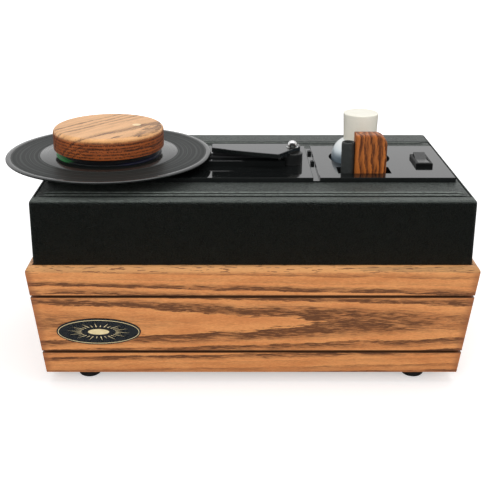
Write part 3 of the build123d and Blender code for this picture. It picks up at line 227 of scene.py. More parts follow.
# Each ring opens with a band of early wood, which sets in fast, fades out, and is faint in some years
onset = 0.07
within = calc(oak, "FRACT", rings)
number = calc(oak, "ADD", calc(oak, "FLOOR", calc(oak, "ADD", rings, onset)), given["Luck"])
fade = ramp(oak, within, 0.0, given["Band Width"], 1.0, 0.0)
early = calc(oak, "MAXIMUM", fade, ramp(oak, within, 1 - onset, 1.0))
early = calc(oak, "MULTIPLY", early, ramp(oak, chance(oak, number), 0.3, 0.7, 0.12, 1.0))
streaks = ramp(oak, noise(oak, where, (1.0, 15.0, 15.0), 3.0, 0.6), 0.38, 0.6)
pores = ramp(oak, noise(oak, where, (2.4, 30.0, 30.0)), 0.54, 0.66)
patchy = ramp(oak, noise(oak, where, (0.35, 2.4, 2.4)), 0.28, 0.56, 0.3, 1.0)
stain = calc(oak, "MULTIPLY", early, patchy)
stain = calc(oak, "MULTIPLY", stain, calc(oak, "MULTIPLY_ADD", streaks, 0.78, 0.34))
stain = calc(oak, "MULTIPLY", stain, given["Strength"], clamp=True)
pore_share = calc(oak, "MULTIPLY", pores, calc(oak, "MULTIPLY_ADD", early, 0.75, 0.1))
dark = calc(oak, "ADD", stain, calc(oak, "MULTIPLY", pore_share, 0.6), clamp=True)
cloud = calc(oak, "MULTIPLY", noise(oak, where, (0.2, 1.1, 1.1), 3.0), 0.5)
hazy = calc(oak, "MULTIPLY_ADD", noise(oak, where, (3.5, 14.0, 14.0), 3.0, 0.6), 0.5, cloud)
ground = mix_colour(oak, ramp(oak, hazy, 0.36, 0.64), given["Pale"], given["Warm"])
reddened = mix_colour(oak, stain, ground, given["Band"])
coloured = mix_colour(oak, pore_share, reddened, given["Dark"])
end_group(oak, coloured, calc(oak, "MULTIPLY_ADD", dark, 0.22, 0.36), calc(oak, "MULTIPLY", dark, -1.0))


def new_material(name, colour, roughness, settings=None):
    """A material whose even values sit on the shader's own sockets: the material, its tree and its shader."""
    material = bpy.data.materials.new(name)
    material.use_nodes = True
    shader = material.node_tree.nodes["Principled BSDF"]
    shader.inputs["Base Color"].default_value = (*colour, 1)
    shader.inputs["Roughness"].default_value = roughness
    for key, value in (settings or {}).items():
        shader.inputs[key].default_value = value
    return material, material.node_tree, shader


def placed(tree, scale, offset=(0, 0, 0), turn=(0, 0, 0)):
    """Object coordinates scaled, then turned, then moved."""
    inputs = {"Vector": add_node(tree, "ShaderNodeTexCoord").outputs["Object"]}
    inputs.update({"Location": offset, "Scale": (scale, scale, scale)})
    inputs["Rotation"] = [math.radians(angle) for angle in turn]
    return add_node(tree, "ShaderNodeMapping", inputs).outputs[0]


def use_group(tree, group, vector, values):
    """A group placed in a material with its own values: its results."""
    return add_node(tree, "ShaderNodeGroup", {"Vector": vector, **values}, node_tree=group).outputs


def connect(tree, shader, made, depth, sockets=("Color", "Roughness")):
    """Feeds a group's results to the shader, its height as a bump of that depth in metres."""
    targets = {"Color": "Base Color", "Roughness": "Roughness"}
    for key in sockets:
        tree.links.new(made[key], shader.inputs[targets[key]])
    bump = add_node(tree, "ShaderNodeBump", {"Height": made["Height"], "Strength": 1.0, "Distance": depth})
    tree.links.new(bump.outputs[0], shader.inputs["Normal"])


def dress(material, *names):
    """Gives CAD nodes their finish."""
    for name in names:
        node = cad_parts[name]
        if not node.material_slots:
            node.data.materials.append(material)
        for material_slot in node.material_slots:
            material_slot.material = material


# Sizes in centimetres; the rim's are where the flat outer faces would meet its height
per_cm = 100.0
cabinet_x = 1.55
rim_half_w = 17.88
rim_half_d = 10.635
rim_z = 10.75
board_h = 9.75
board_leans_out = 0.98
kerf_tops = (8.25, 3.1)
kerf_half = 0.1
kerf_shade_half = 0.12
kerf_depth = 0.008
foot_z = 1.05
round_z = 10.1
slope = board_leans_out / board_h
board_lean = math.atan(slope)
lean_angle = math.degrees(board_lean)
# Each board: its turn into the tree, the place of the heart, and the rings that it was sawn through
boards = (
    ("base_front_board", (-lean_angle, 0, 0), (16.0, 3.96, -6.75),
     {"Taper": 0.0125, "Wander": 0.2, "Ring Start": 5.82, "Band Width": 0.8, "Luck": 30.0}),
    ("base_back_board", (lean_angle, 0, 0), (9.0, -2.9, -4.9),
     {"Taper": 0.02, "Wander": 0.6, "Ring Start": 0.3, "Band Width": 0.6, "Luck": 5.0}),
    ("base_left_board", (0, lean_angle, 90), (-3.0, 21.4, -4.6),
     {"Taper": 0.03, "Wander": 0.6, "Ring Start": 0.1, "Band Width": 0.6, "Luck": 20.0}),
    ("base_right_board", (0, -lean_angle, -90), (7.0, 24.4, -6.0),
     {"Taper": 0.03, "Wander": 0.6, "Ring Start": 0.2, "Band Width": 0.6, "Luck": 40.0}),
)
for board, turn, heart, values in boards:
    material, tree, shader = new_material("oak_" + board, (0.7, 0.34, 0.13), 0.4, {"IOR": 1.45})
    values.update({"Ring Spacing": 0.355, "Ragged": 0.17, "Strength": 1.9})
    grain = use_group(tree, oak, placed(tree, per_cm, heart, turn), values)
    connect(tree, shader, grain, 0.00012, ("Roughness",))
    # How deep a point lies under the leaning faces of the ends, and of the front and back
    x, y, z = split(tree, placed(tree, per_cm))
    inward = calc(tree, "MULTIPLY", calc(tree, "SUBTRACT", rim_z, z), slope)
    off_x = calc(tree, "ABSOLUTE", calc(tree, "SUBTRACT", x, cabinet_x))
    off_y = calc(tree, "ABSOLUTE", y)
    end_depth = calc(tree, "SUBTRACT", calc(tree, "SUBTRACT", rim_half_w, inward), off_x)
    front_depth = calc(tree, "SUBTRACT", calc(tree, "SUBTRACT", rim_half_d, inward), off_y)
    depth = front_depth if board in ("base_front_board", "base_back_board") else end_depth
    # The kerfs and their arrises are painted darker than the oiled face, as painted shade in the recesses
    kerfs = 0.0
    arris_shade = 0.0
    for top in kerf_tops:
        off_kerf = calc(tree, "ABSOLUTE", calc(tree, "SUBTRACT", z, top - kerf_half))
        kerfs = calc(tree, "MAXIMUM", kerfs, calc(tree, "LESS_THAN", off_kerf, kerf_shade_half))
        arris_shading = ramp(tree, off_kerf, kerf_shade_half, kerf_shade_half + 0.05, 0.8, 0.0)
        arris_shade = calc(tree, "MAXIMUM", arris_shade, arris_shading)
    kerf_shade = calc(tree, "MULTIPLY", kerfs, ramp(tree, depth, kerf_depth, kerf_depth + 0.02))
    kerf_shade = calc(tree, "MULTIPLY", calc(tree, "MAXIMUM", kerf_shade, arris_shade), 0.93)
    kerf_shaded = mix_colour(tree, kerf_shade, grain["Color"], (0.06, 0.025, 0.012, 1))
    # Darker and redder towards the foot and along the mitres
    mitre = ramp(tree, calc(tree, "MAXIMUM", end_depth, front_depth), 0.1, 0.75, 0.55, 0.0)
    foot = ramp(tree, z, foot_z, foot_z + 0.55, 0.4, 0.0)
    aged_with_painted_light = mix_colour(tree, calc(tree, "MAXIMUM", mitre, foot), kerf_shaded, (0.3, 0.1, 0.04, 1))
    # The rounded rim is painted paler as a painted highlight, and its open pores have filled with dirt
    aged_with_painted_light = mix_colour(tree, ramp(tree, z, round_z, round_z + 0.4, 0.0, 0.55), aged_with_painted_light, (0.74, 0.4, 0.16, 1))
    along = placed(tree, per_cm, (0, 0, 0), (0, 0, turn[2]))
    dirt = ramp(tree, noise(tree, along, (1.3, 9.0, 9.0)), 0.58, 0.64)
    dirt = calc(tree, "MULTIPLY", dirt, ramp(tree, z, round_z, round_z + 0.3, 0.0, 0.75))
    aged_with_painted_light = mix_colour(tree, dirt, aged_with_painted_light, (0.13, 0.04, 0.018, 1))
    tree.links.new(aged_with_painted_light, shader.inputs["Base Color"])
    dress(material, board)


# ---------------------------------------------------------------- inside of the surround
# Glue blocks hold the mitres, and a plywood panel closes the bottom, screwed up into them.
# Both are plain unfinished wood.
def plain_wood(name, colour, roughness, heart, turn, values):
    """Unfinished wood, with the oak's way of growing in its own colours."""
    material, tree, shader = new_material(name, colour, roughness)
    grain = use_group(tree, oak, placed(tree, per_cm, heart, turn), values)
    connect(tree, shader, grain, 0.00004, ("Color",))
    return material


softwood = plain_wood(
    "softwood", (0.62, 0.42, 0.22), 0.65, (0, 3, 2), (0, 90, 0),
    {"Pale": (0.68, 0.48, 0.27, 1), "Warm": (0.6, 0.4, 0.2, 1), "Dark": (0.42, 0.24, 0.1, 1),
     "Ring Spacing": 0.3, "Band Width": 0.5},
)
dress(softwood, "corner_blocks")
plywood = plain_wood(
    "plywood", (0.58, 0.42, 0.25), 0.7, (2, 1, 9), (0, 0, 0),
    {"Pale": (0.64, 0.48, 0.3, 1), "Warm": (0.56, 0.4, 0.23, 1), "Dark": (0.38, 0.24, 0.12, 1),
     "Ring Spacing": 0.5, "Wander": 3.0, "Band Width": 0.7},
)
dress(plywood, "bottom_panel")

# ---------------------------------------------------------------- screws and feet
# Zinc-plated cross-head screws hold the bottom panel, and one more holds each foot.
# The feet are moulded rubber domes with a recess for the screw's head.
mottle, given = start_group("fine_mottle", {
    "First": (0.5, 0.5, 0.5, 1),
    "Second": (0.4, 0.4, 0.4, 1),
    "Fineness": 1.0,
    "Least Roughness": 0.3,
    "Most Roughness": 0.45,
})
sized = vector_calc(mottle, "SCALE", given["Vector"], given["Fineness"])
grit = noise(mottle, sized, (9.0, 9.0, 9.0), 4.0, 0.6)
patches = calc(mottle, "MULTIPLY", noise(mottle, sized, (1.1, 1.1, 1.1)), 0.45)
share = ramp(mottle, calc(mottle, "MULTIPLY_ADD", grit, 0.55, patches), 0.36, 0.64)
spread = calc(mottle, "SUBTRACT", given["Most Roughness"], given["Least Roughness"])
dulled = calc(mottle, "MULTIPLY_ADD", share, spread, given["Least Roughness"])
end_group(mottle, mix_colour(mottle, share, given["First"], given["Second"]), dulled, grit)


def mottled(name, first, second, rough, fineness, depth, settings=None):
    """A plain stuff with its own fine unevenness of colour, gloss and surface."""
    material, tree, shader = new_material(name, first, rough[0], settings)
    values = {"First": (*first, 1), "Second": (*second, 1), "Fineness": fineness}
    values.update({"Least Roughness": rough[0], "Most Roughness": rough[1]})
    connect(tree, shader, use_group(tree, mottle, placed(tree, per_cm), values), depth)
    return material


metal = {"Metallic": 1.0}
zinc = mottled("zinc_plate", (0.62, 0.61, 0.58), (0.5, 0.5, 0.49), (0.22, 0.42), 3.0, 0.00001, metal)
dress(zinc, "base_screws", "bar_screws", "tank_screws", "rear_screws")
foot_rubber = mottled("foot_rubber", (0.012, 0.012, 0.012), (0.02, 0.02, 0.02), (0.5, 0.7), 4.0, 0.00004)
dress(foot_rubber, "rubber_feet")

# ---------------------------------------------------------------- badge
# An oval of black enamelled metal with bevelled edges, glued to the front board.
# Its generic ornament is thin cream inlay: a border line, an oval and a ring of rays round it.
enamel = mottled("badge_enamel", (0.014, 0.017, 0.02), (0.022, 0.026, 0.03), (0.22, 0.34), 1.2, 0.00001)
dress(enamel, "badge")
inlay_cream = mottled("inlay_cream", (0.84, 0.72, 0.42), (0.74, 0.6, 0.32), (0.3, 0.5), 3.0, 0.00001)


def box_of(node):
    """The low corner, the middle and the high corner of a node's box."""
    low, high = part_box(node)
    return low, (low + high) / 2, high


badge_low, badge_mid, badge_high = box_of("badge")
badge_half_w = (badge_high.x - badge_low.x) / 2
badge_half_h = (badge_high.z - badge_low.z) / 2 / math.cos(board_lean)
badge_t = 0.001
inlay_h = 0.00012
border_in = 0.0012
border_w = 0.00045
middle_oval = (0.0086, 0.0026)
ray_count = 28
ray_spread = 0.035
ray_foot = (0.0140, 0.0046)
ray_tips = ((0.0195, 0.0066), (0.0250, 0.0084))


def badge_point(across, up, out):
    """A point on the badge's leaning face."""
    return (
        badge_mid.x + across,
        badge_mid.y - math.sin(board_lean) * up - math.cos(board_lean) * out,
        badge_mid.z + math.cos(board_lean) * up - math.sin(board_lean) * out,
    )


def raised_outline(work, outer, inner=None):
    """A flat raised shape between two outlines of equal count, or over one outline."""
    levels = [(outer, -inlay_h), (outer, inlay_h)]
    if inner:
        levels += [(inner, inlay_h), (inner, -inlay_h)]
    loops = []
    for outline, rise in levels:
        loops.append([work.verts.new(badge_point(x, z, badge_t / 2 + rise)) for x, z in outline])
    for first, second in zip(loops, loops[1:] + (loops[:1] if inner else [])):
        for i in range(len(outer)):
            j = (i + 1) % len(outer)
            work.faces.new((first[i], first[j], second[j], second[i]))
    if not inner:
        work.faces.new(loops[1])
        work.faces.new(loops[0][::-1])


def on_oval(half_size, turn):
    """A point of an oval."""
    return (half_size[0] * math.cos(turn), half_size[1] * math.sin(turn))


def oval(half_w, half_h, count):
    """Points round an oval."""
    return [on_oval((half_w, half_h), 2 * math.pi * i / count) for i in range(count)]


def finished_mesh(work, *materials):
    """A mesh from finished mesh work, its faces turned outwards."""
    bmesh.ops.recalc_face_normals(work, faces=work.faces)
    mesh = bpy.data.meshes.new("work")
    work.to_mesh(mesh)
    work.free()
    for material in materials:
        mesh.materials.append(material)
    return mesh


def add_piece(name, mesh, body):
    """A finished mesh as a piece that rides on a body."""
    mesh.name = name
    piece = new_object(name, mesh)
    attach(piece, body)
    return piece


work = bmesh.new()
line_in = border_in + border_w
raised_outline(
    work,
    oval(badge_half_w - border_in, badge_half_h - border_in, 96),
    oval(badge_half_w - line_in, badge_half_h - line_in, 96),
)
raised_outline(work, oval(*middle_oval, 48))
for i in range(ray_count):
    middle = 2 * math.pi * (i + 0.5) / ray_count
    sides = (on_oval(ray_foot, middle - ray_spread), on_oval(ray_foot, middle + ray_spread))
    raised_outline(work, [sides[0], on_oval(ray_tips[i % 2], middle), sides[1]])
add_piece("badge_inlay", finished_mesh(work, inlay_cream), "cabinet")

# ---------------------------------------------------------------- vinyl-covered case
# Fibreboard walls and top, wrapped in black grained vinyl, with narrow joints round the top panel.
# The case stands in the surround's rebate, and its covering is turned in at every edge.
vinyl, given = start_group("vinyl_grain", {
    "High": (0.0032, 0.0052, 0.004, 1),
    "Low": (0.0012, 0.0022, 0.0018, 1),
    "Cell Size": 0.15,
})
where = given["Vector"]
warp = vector_calc(vinyl, "SCALE", noise(vinyl, where, (6.0, 6.0, 6.0), output="Color"), 0.07)
cell_scale = calc(vinyl, "DIVIDE", 1.0, given["Cell Size"])
inputs = {"Vector": vector_calc(vinyl, "ADD", where, warp), "Scale": cell_scale}
cells = add_node(vinyl, "ShaderNodeTexVoronoi", inputs, feature="DISTANCE_TO_EDGE").outputs["Distance"]
pebble = ramp(vinyl, cells, 0.0, 0.32)
creased = calc(vinyl, "MULTIPLY_ADD", noise(vinyl, where, (22.0, 22.0, 22.0), 3.0, 0.6), 0.5, pebble)
grained = mix_colour(vinyl, pebble, given["Low"], given["High"])
end_group(vinyl, grained, calc(vinyl, "MULTIPLY_ADD", pebble, -0.14, 0.54), creased)
black_vinyl, tree, shader = new_material(
    "black_vinyl", (0.006, 0.008, 0.007), 0.46,
    {"Specular IOR Level": 0.6, "Specular Tint": (0.9, 1.0, 0.94, 1)},
)
where = placed(tree, per_cm)
covering = use_group(tree, vinyl, where, {})
connect(tree, shader, covering, 0.0007, ("Roughness",))
dress(black_vinyl, "case_shell", "top_panel", "rear_strip")

# The covering is folded over a cord along the front and back edges of the top panel
panel_low, panel_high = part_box("top_panel")
fold_y = panel_low.y + 0.0058
# Each ridge: the line that it follows, its width and its height
seams = (
    (panel_low.y + 0.0085, 0.005, 0.0013),
    (panel_low.y + 0.0033, 0.004, 0.0009),
    (panel_high.y - 0.0046, 0.0026, 0.0009),
    (panel_high.y - 0.0096, 0.0018, 0.0005),
)
# The crests and the front edge are painted paler, partly wear and partly a painted highlight, and the fold
# between the crests is painted dark as painted shade
crest = 0.02
fold_half = 0.07
top_z = panel_high.z * per_cm
x, y, z = split(tree, where)
wear_and_highlight = ramp(tree, z, top_z + crest, top_z + 3 * crest)
edge = ramp(tree, calc(tree, "SUBTRACT", panel_low.y * per_cm, y), 0.1, 0.3)
edge = calc(tree, "MULTIPLY", edge, ramp(tree, z, top_z - 0.2, top_z - 0.05))
wear_and_highlight = calc(tree, "MAXIMUM", wear_and_highlight, calc(tree, "MULTIPLY", edge, 0.6))
uneven = ramp(tree, noise(tree, where, (3.0, 8.0, 8.0), 3.0), 0.3, 0.6, 0.45, 1.0)
wear_and_highlight = calc(tree, "MULTIPLY", wear_and_highlight, uneven)
wear_dust_and_painted_light = mix_colour(tree, wear_and_highlight, covering["Color"], (0.19, 0.215, 0.195, 1))
# Painted shade in the fold between the crests
off_fold = calc(tree, "ABSOLUTE", calc(tree, "SUBTRACT", y, fold_y * per_cm))
fold_shade = ramp(tree, off_fold, fold_half, 2 * fold_half, 0.95, 0.0)
wear_dust_and_painted_light = mix_colour(tree, fold_shade, wear_dust_and_painted_light, (0.0004, 0.0005, 0.0004, 1))
# Fine dust on what faces up, which also lightens the top as a painted sheen
facing = add_node(tree, "ShaderNodeNewGeometry").outputs["Normal"]
facing_up = ramp(tree, split(tree, facing)[2], 0.5, 0.95)
speckle = ramp(tree, noise(tree, where, (7.0, 7.0, 7.0), 3.0, 0.7), 0.4, 0.62, 0.3, 1.0)
still = calc(tree, "SUBTRACT", 1.0, calc(tree, "MAXIMUM", fold_shade, wear_and_highlight))
dust_and_sheen = calc(tree, "MULTIPLY", calc(tree, "MULTIPLY", facing_up, speckle), still)
wear_dust_and_painted_light = mix_colour(tree, dust_and_sheen, wear_dust_and_painted_light, (0.082, 0.092, 0.085, 1))
tree.links.new(wear_dust_and_painted_light, shader.inputs["Base Color"])

seam_ends = 0.007
seam_sunk = 0.00015
seam_waver = 0.06
seam_waves = (2900, 770)
seam_steps = 160
seam_sides = 8
panel_w = panel_high.x - panel_low.x
work = bmesh.new()
for middle_y, width, rise in seams:
    rows = []
    for step in range(seam_steps + 1):
        share = step / seam_steps
        seam_x = panel_low.x + seam_ends / 2 + share * (panel_w - seam_ends)
        end = min(1.0, min(share, 1 - share) * panel_w / seam_ends)
        waver = seam_waver * math.sin(seam_x * seam_waves[0]) * math.sin(seam_x * seam_waves[1])
        swell = rise * math.sin(end * math.pi / 2) * (1 + waver)
        row = []
        for side in range(seam_sides + 1):
            angle = math.pi * side / seam_sides
            seam_y = middle_y - width / 2 * math.cos(angle)
            seam_z = panel_high.z - seam_sunk + swell * math.sin(angle)
            row.append(work.verts.new((seam_x, seam_y, seam_z)))
        rows.append(row)
    for first, second in zip(rows, rows[1:]):
        for side in range(seam_sides):
            face = work.faces.new((first[side], first[side + 1], second[side + 1], second[side]))
            face.smooth = True
        work.faces.new((first[0], second[0], second[-1], first[-1]))
    work.faces.new(rows[0][::-1])
    work.faces.new(rows[-1])
add_piece("panel_seams", finished_mesh(work, black_vinyl), "cabinet")

# ---------------------------------------------------------------- deck plates
# Sheets of polished black acrylic on the case's top: one base sheet and two upper plates
# with an open channel between them, in which two small moulded clips sit.
polish, given = start_group("polish", {
    "Clean": (0.006, 0.007, 0.007, 1),
    "Dusty": (0.013, 0.014, 0.014, 1),
    "Least Roughness": 0.035,
})
where = given["Vector"]
smear = noise(polish, where, (0.35, 0.8, 0.8), 3.0)
motes = ramp(polish, noise(polish, where, (28.0, 28.0, 28.0), 1.0), 0.68, 0.78)
hairline = ramp(polish, noise(polish, where, (0.7, 60.0, 60.0), 1.0), 0.62, 0.7)
dust = calc(polish, "MULTIPLY_ADD", motes, 0.8, calc(polish, "MULTIPLY", smear, 0.4), clamp=True)
sheen = calc(polish, "MULTIPLY_ADD", smear, 0.05, given["Least Roughness"])
sheen = calc(polish, "MULTIPLY_ADD", motes, 0.25, sheen)
dusted = mix_colour(polish, dust, given["Clean"], given["Dusty"])
end_group(polish, dusted, sheen, calc(polish, "MULTIPLY", hairline, -1.0))


def polished(name, colour, dusty, least, settings=None):
    """A smooth glossy stuff with faint smears, dust and hairlines."""
    material, tree, shader = new_material(name, colour, least, settings)
    values = {"Clean": (*colour, 1), "Dusty": (*dusty, 1), "Least Roughness": least}
    connect(tree, shader, use_group(tree, polish, placed(tree, per_cm), values), 0.000002)
    return material


acrylic = polished("black_acrylic", (0.006, 0.007, 0.007), (0.013, 0.014, 0.014), 0.035, {"IOR": 1.72})
dress(acrylic, "deck_base_plate", "left_deck_plate", "right_deck_plate", "slot_bar", "cover_arm")
moulded_black = mottled(
    "moulded_black", (0.012, 0.013, 0.013), (0.02, 0.021, 0.021), (0.3, 0.42), 2.0, 0.00002
)
dress(moulded_black, "channel_clips", "vacuum_plenum", "pivot_post", "accessory_well")

# ---------------------------------------------------------------- spindle and platter
# A steel spindle turns in a brass bush, on a nylon washer, and carries a black anodised platter.
# A clip keeps it down, and a thin rubber mat lies on the platter.
lathe, given = start_group("lathe_marks", {
    "First": (0.6, 0.6, 0.6, 1),
    "Second": (0.5, 0.5, 0.5, 1),
    "Least Roughness": 0.2,
    "Pitch": 0.03,
})
from_axis = vector_calc(lathe, "LENGTH", vector_calc(lathe, "MULTIPLY", given["Vector"], (1, 1, 0)))
turns = calc(lathe, "ADD", from_axis, split(lathe, given["Vector"])[2])
inputs = {"W": calc(lathe, "DIVIDE", turns, given["Pitch"]), "Scale": 0.7, "Detail": 2.0}
marks = add_node(lathe, "ShaderNodeTexNoise", inputs, noise_dimensions="1D").outputs["Fac"]
marks = ramp(lathe, marks, 0.3, 0.7)
dulled = calc(lathe, "MULTIPLY_ADD", marks, 0.16, given["Least Roughness"])
end_group(lathe, mix_colour(lathe, marks, given["First"], given["Second"]), dulled, marks)


def round_axis(tree, node):
    """Object coordinates in centimetres, from the upright axis of a node."""
    middle = box_of(node)[1]
    return placed(tree, per_cm, (-middle.x * per_cm, -middle.y * per_cm, 0))


def turned(name, node, first, second, least, pitch, settings=None, depth=0.000006):
    """A stuff with lathe marks round the axis of one node."""
    material, tree, shader = new_material(name, first, least, settings)
    values = {"First": (*first, 1), "Second": (*second, 1), "Least Roughness": least, "Pitch": pitch}
    connect(tree, shader, use_group(tree, lathe, round_axis(tree, node), values), depth)
    return material


spindle_steel = turned("spindle_steel", "spindle", (0.66, 0.65, 0.63), (0.56, 0.55, 0.54), 0.14, 0.02, metal)
dress(spindle_steel, "spindle", "spindle_clip")
bush_brass = turned("bush_brass", "spindle_bush", (0.72, 0.5, 0.2), (0.62, 0.42, 0.16), 0.2, 0.03, metal)
dress(bush_brass, "spindle_bush", "bush_nut")
nylon = mottled("white_nylon", (0.8, 0.79, 0.74), (0.74, 0.73, 0.68), (0.35, 0.5), 2.0, 0.00001)
dress(nylon, "thrust_washer")
anodised = turned("anodised_black", "platter", (0.03, 0.03, 0.031), (0.045, 0.045, 0.046), 0.3, 0.04, metal)
dress(anodised, "platter")
mat_rubber = turned(
    "mat_rubber", "platter_mat", (0.014, 0.014, 0.014), (0.024, 0.024, 0.024), 0.55, 0.12, depth=0.00006
)
dress(mat_rubber, "platter_mat")

# ---------------------------------------------------------------- record
# A 7-inch pressing: rim bead, grooved band with quieter turns between the tracks, and plain
# run-out ring. The paper label is pressed in, and bears plain printed rings and wedges on a dark ground that
# is partly painted shade.
plain_vinyl = turned(
    "pressed_vinyl", "record", (0.007, 0.0085, 0.008), (0.011, 0.0125, 0.012), 0.08, 0.05,
    {"IOR": 1.54, "Specular IOR Level": 0.62}, 0.000002,
)
groove_vinyl = turned(
    "grooved_vinyl", "record", (0.002, 0.003, 0.0028), (0.02, 0.023, 0.022), 0.34, 0.09,
    {"IOR": 1.5, "Specular IOR Level": 0.1}, 0.00003,
)
# Quieter turns between the tracks are painted lighter, as a painted highlight where they catch more light
tracks_per_cm = 2.6
tree = groove_vinyl.node_tree
shader = tree.nodes["Principled BSDF"]
from_axis = vector_calc(tree, "LENGTH", vector_calc(tree, "MULTIPLY", round_axis(tree, "record"), (1, 1, 0)))
track = calc(tree, "MULTIPLY", from_axis, tracks_per_cm)
track_end = calc(tree, "ABSOLUTE", calc(tree, "SUBTRACT", calc(tree, "FRACT", track), 0.5))
quiet_turn_highlight = ramp(tree, chance(tree, calc(tree, "FLOOR", track)), 0.0, 0.7, 0.15, 0.6)
quiet_turn_highlight = calc(tree, "MULTIPLY", ramp(tree, track_end, 0.06, 0.2, 1.0, 0.0), quiet_turn_highlight)
grooves = shader.inputs["Base Color"].links[0].from_socket
tree.links.new(mix_colour(tree, quiet_turn_highlight, grooves, (0.06, 0.067, 0.063, 1)), shader.inputs["Base Color"])

record_low, record_mid, record_high = box_of("record")
record_r = (record_high.x - record_low.x) / 2
record_hole_r = 0.00362
record_edge = 0.00048
rim_bead = 0.0042
groove_inner_r = 0.059
groove_outer_r = record_r - rim_bead
groove_deep = 0.0002
groove_pitch = 0.0009
groove_wave = 0.00005
groove_step_in = 0.0003
turns_per_track = 9
record_segments = 192


def groove_side(face, up):
    """One face of the record from its hole to its rim: radius and height, going outwards."""
    side = [(record_hole_r, face), (groove_inner_r - groove_step_in, face)]
    count = int((groove_outer_r - groove_inner_r) / groove_pitch)
    step = (groove_outer_r - groove_inner_r) / count
    for i in range(count + 1):
        radius = groove_inner_r + i * step
        wave = groove_wave * (0.25 if i % turns_per_track == 0 else 1.0)
        side.append((radius, face - up * (groove_deep - wave)))
        if i < count:
            side.append((radius + step / 2, face - up * (groove_deep + wave)))
    return side + [(groove_outer_r + groove_step_in, face), (record_r - record_edge, face)]


profile = groove_side(record_high.z, 1) + [(record_r, record_high.z - record_edge)]
profile += [(record_r, record_low.z + record_edge)] + groove_side(record_low.z, -1)[::-1]
work = bmesh.new()
circles = []
for radius, height in profile:
    circle = []
    for i in range(record_segments):
        angle = 2 * math.pi * i / record_segments
        x = record_mid.x + radius * math.cos(angle)
        circle.append(work.verts.new((x, record_mid.y + radius * math.sin(angle), height)))
    circles.append(circle)
for ring, (first, second) in enumerate(zip(circles, circles[1:] + circles[:1])):
    middle_r = (profile[ring][0] + profile[(ring + 1) % len(profile)][0]) / 2
    grooved = groove_inner_r - groove_step_in < middle_r < groove_outer_r
    for i in range(record_segments):
        j = (i + 1) % record_segments
        face = work.faces.new((first[i], first[j], second[j], second[i]))
        face.smooth = True
        face.material_index = 1 if grooved else 0
record_mesh = finished_mesh(work, plain_vinyl, groove_vinyl)
record_piece = add_piece("pressed_record", record_mesh, "disc")
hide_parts("record")

# Plain paper with wedges of green and violet over black and with two thin rings: the green and the rings are
# print, the black ground is painted shade under the puck, and the violet wedge is a painted reflection of the
# puck
label_paper, tree, shader = new_material("label_paper", (0.03, 0.1, 0.04), 0.45)
where = round_axis(tree, "record")
flat = vector_calc(tree, "MULTIPLY", where, (1, 1, 0))
heading = vector_calc(tree, "NORMALIZE", flat)
from_axis = vector_calc(tree, "LENGTH", flat)
paper = noise(tree, where, (14.0, 14.0, 14.0), 3.0)
print_and_painted_shade = mix_colour(tree, ramp(tree, paper, 0.3, 0.7), (0.007, 0.008, 0.012, 1), (0.011, 0.012, 0.017, 1))
# Each wedge: the way that it points, how far its edges fade, and its ink
wedges = (
    ((-0.92, -0.39, 0.0), 0.86, 0.97, (0.04, 0.36, 0.09, 1)),
    ((0.75, -0.66, 0.0), 0.8, 0.95, (0.012, 0.012, 0.05, 1)),
    ((0.3, 0.95, 0.0), 0.82, 0.95, (0.04, 0.3, 0.09, 1)),
)
for direction, low, high, ink in wedges:
    toward = vector_calc(tree, "DOT_PRODUCT", heading, direction)
    print_and_painted_shade = mix_colour(tree, ramp(tree, toward, low, high), print_and_painted_shade, ink)
ruled = 0.0
for ring_r in (4.3, 1.6):
    off_ring = calc(tree, "ABSOLUTE", calc(tree, "SUBTRACT", from_axis, ring_r))
    ruled = calc(tree, "MAXIMUM", ruled, ramp(tree, off_ring, 0.02, 0.05, 1.0, 0.0))
print_and_painted_shade = mix_colour(tree, calc(tree, "MULTIPLY", ruled, 0.5), print_and_painted_shade, (0.3, 0.34, 0.3, 1))
tree.links.new(print_and_painted_shade, shader.inputs["Base Color"])
tree.links.new(calc(tree, "MULTIPLY_ADD", paper, 0.2, 0.32), shader.inputs["Roughness"])
dress(label_paper, "record_label")

# ---------------------------------------------------------------- puck
# A turned oak puck pressed on the record by hand, its top edge rounded over.
# Flat-sawn: its sides show close dark lines, and a rubber pad is glued beneath.
puck_oak, tree, shader = new_material("puck_oak", (0.6, 0.28, 0.11), 0.36, {"IOR": 1.47})
puck_heart = (9.0, -4.7, -15.2)
puck_turn = (0, 0, -52)
grain = use_group(tree, oak, placed(tree, per_cm, puck_heart, puck_turn), {
    "Pale": (0.84, 0.45, 0.185, 1),
    "Warm": (0.67, 0.34, 0.132, 1),
    "Band": (0.15, 0.085, 0.055, 1),
    "Dark": (0.05, 0.027, 0.02, 1),
    "Ring Spacing": 0.5,
    "Taper": 0.03,
    "Strength": 1.25,
    "Wander": 0.9,
    "Band Width": 0.5,
    "Ring Start": 0.12,
    "Ragged": 0.34,
    "Luck": 23.0,
})
where = placed(tree, per_cm)
height = split(tree, where)[2]
puck_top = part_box("puck")[1].z * per_cm
crown = ramp(tree, height, puck_top - 0.5, puck_top - 0.12)
side = calc(tree, "SUBTRACT", 1.0, crown)
sided = mix_colour(tree, side, grain["Color"], (0.5, 0.24, 0.14, 1), "MULTIPLY")
# End grain round the side: rows of open pores, broken by paler rays
rows_per_cm = 3.9
rows = calc(tree, "FRACT", calc(tree, "MULTIPLY", height, rows_per_cm))
row_line = ramp(tree, calc(tree, "ABSOLUTE", calc(tree, "SUBTRACT", rows, 0.5)), 0.14, 0.36, 1.0, 0.0)
open_pores = ramp(tree, noise(tree, where, (8.0, 8.0, 11.0)), 0.4, 0.52)
dashes = calc(tree, "MULTIPLY", row_line, open_pores)
dashes = calc(tree, "MULTIPLY", dashes, calc(tree, "SUBTRACT", 0.85, crown), clamp=True)
sided = mix_colour(tree, dashes, sided, (0.045, 0.018, 0.01, 1))
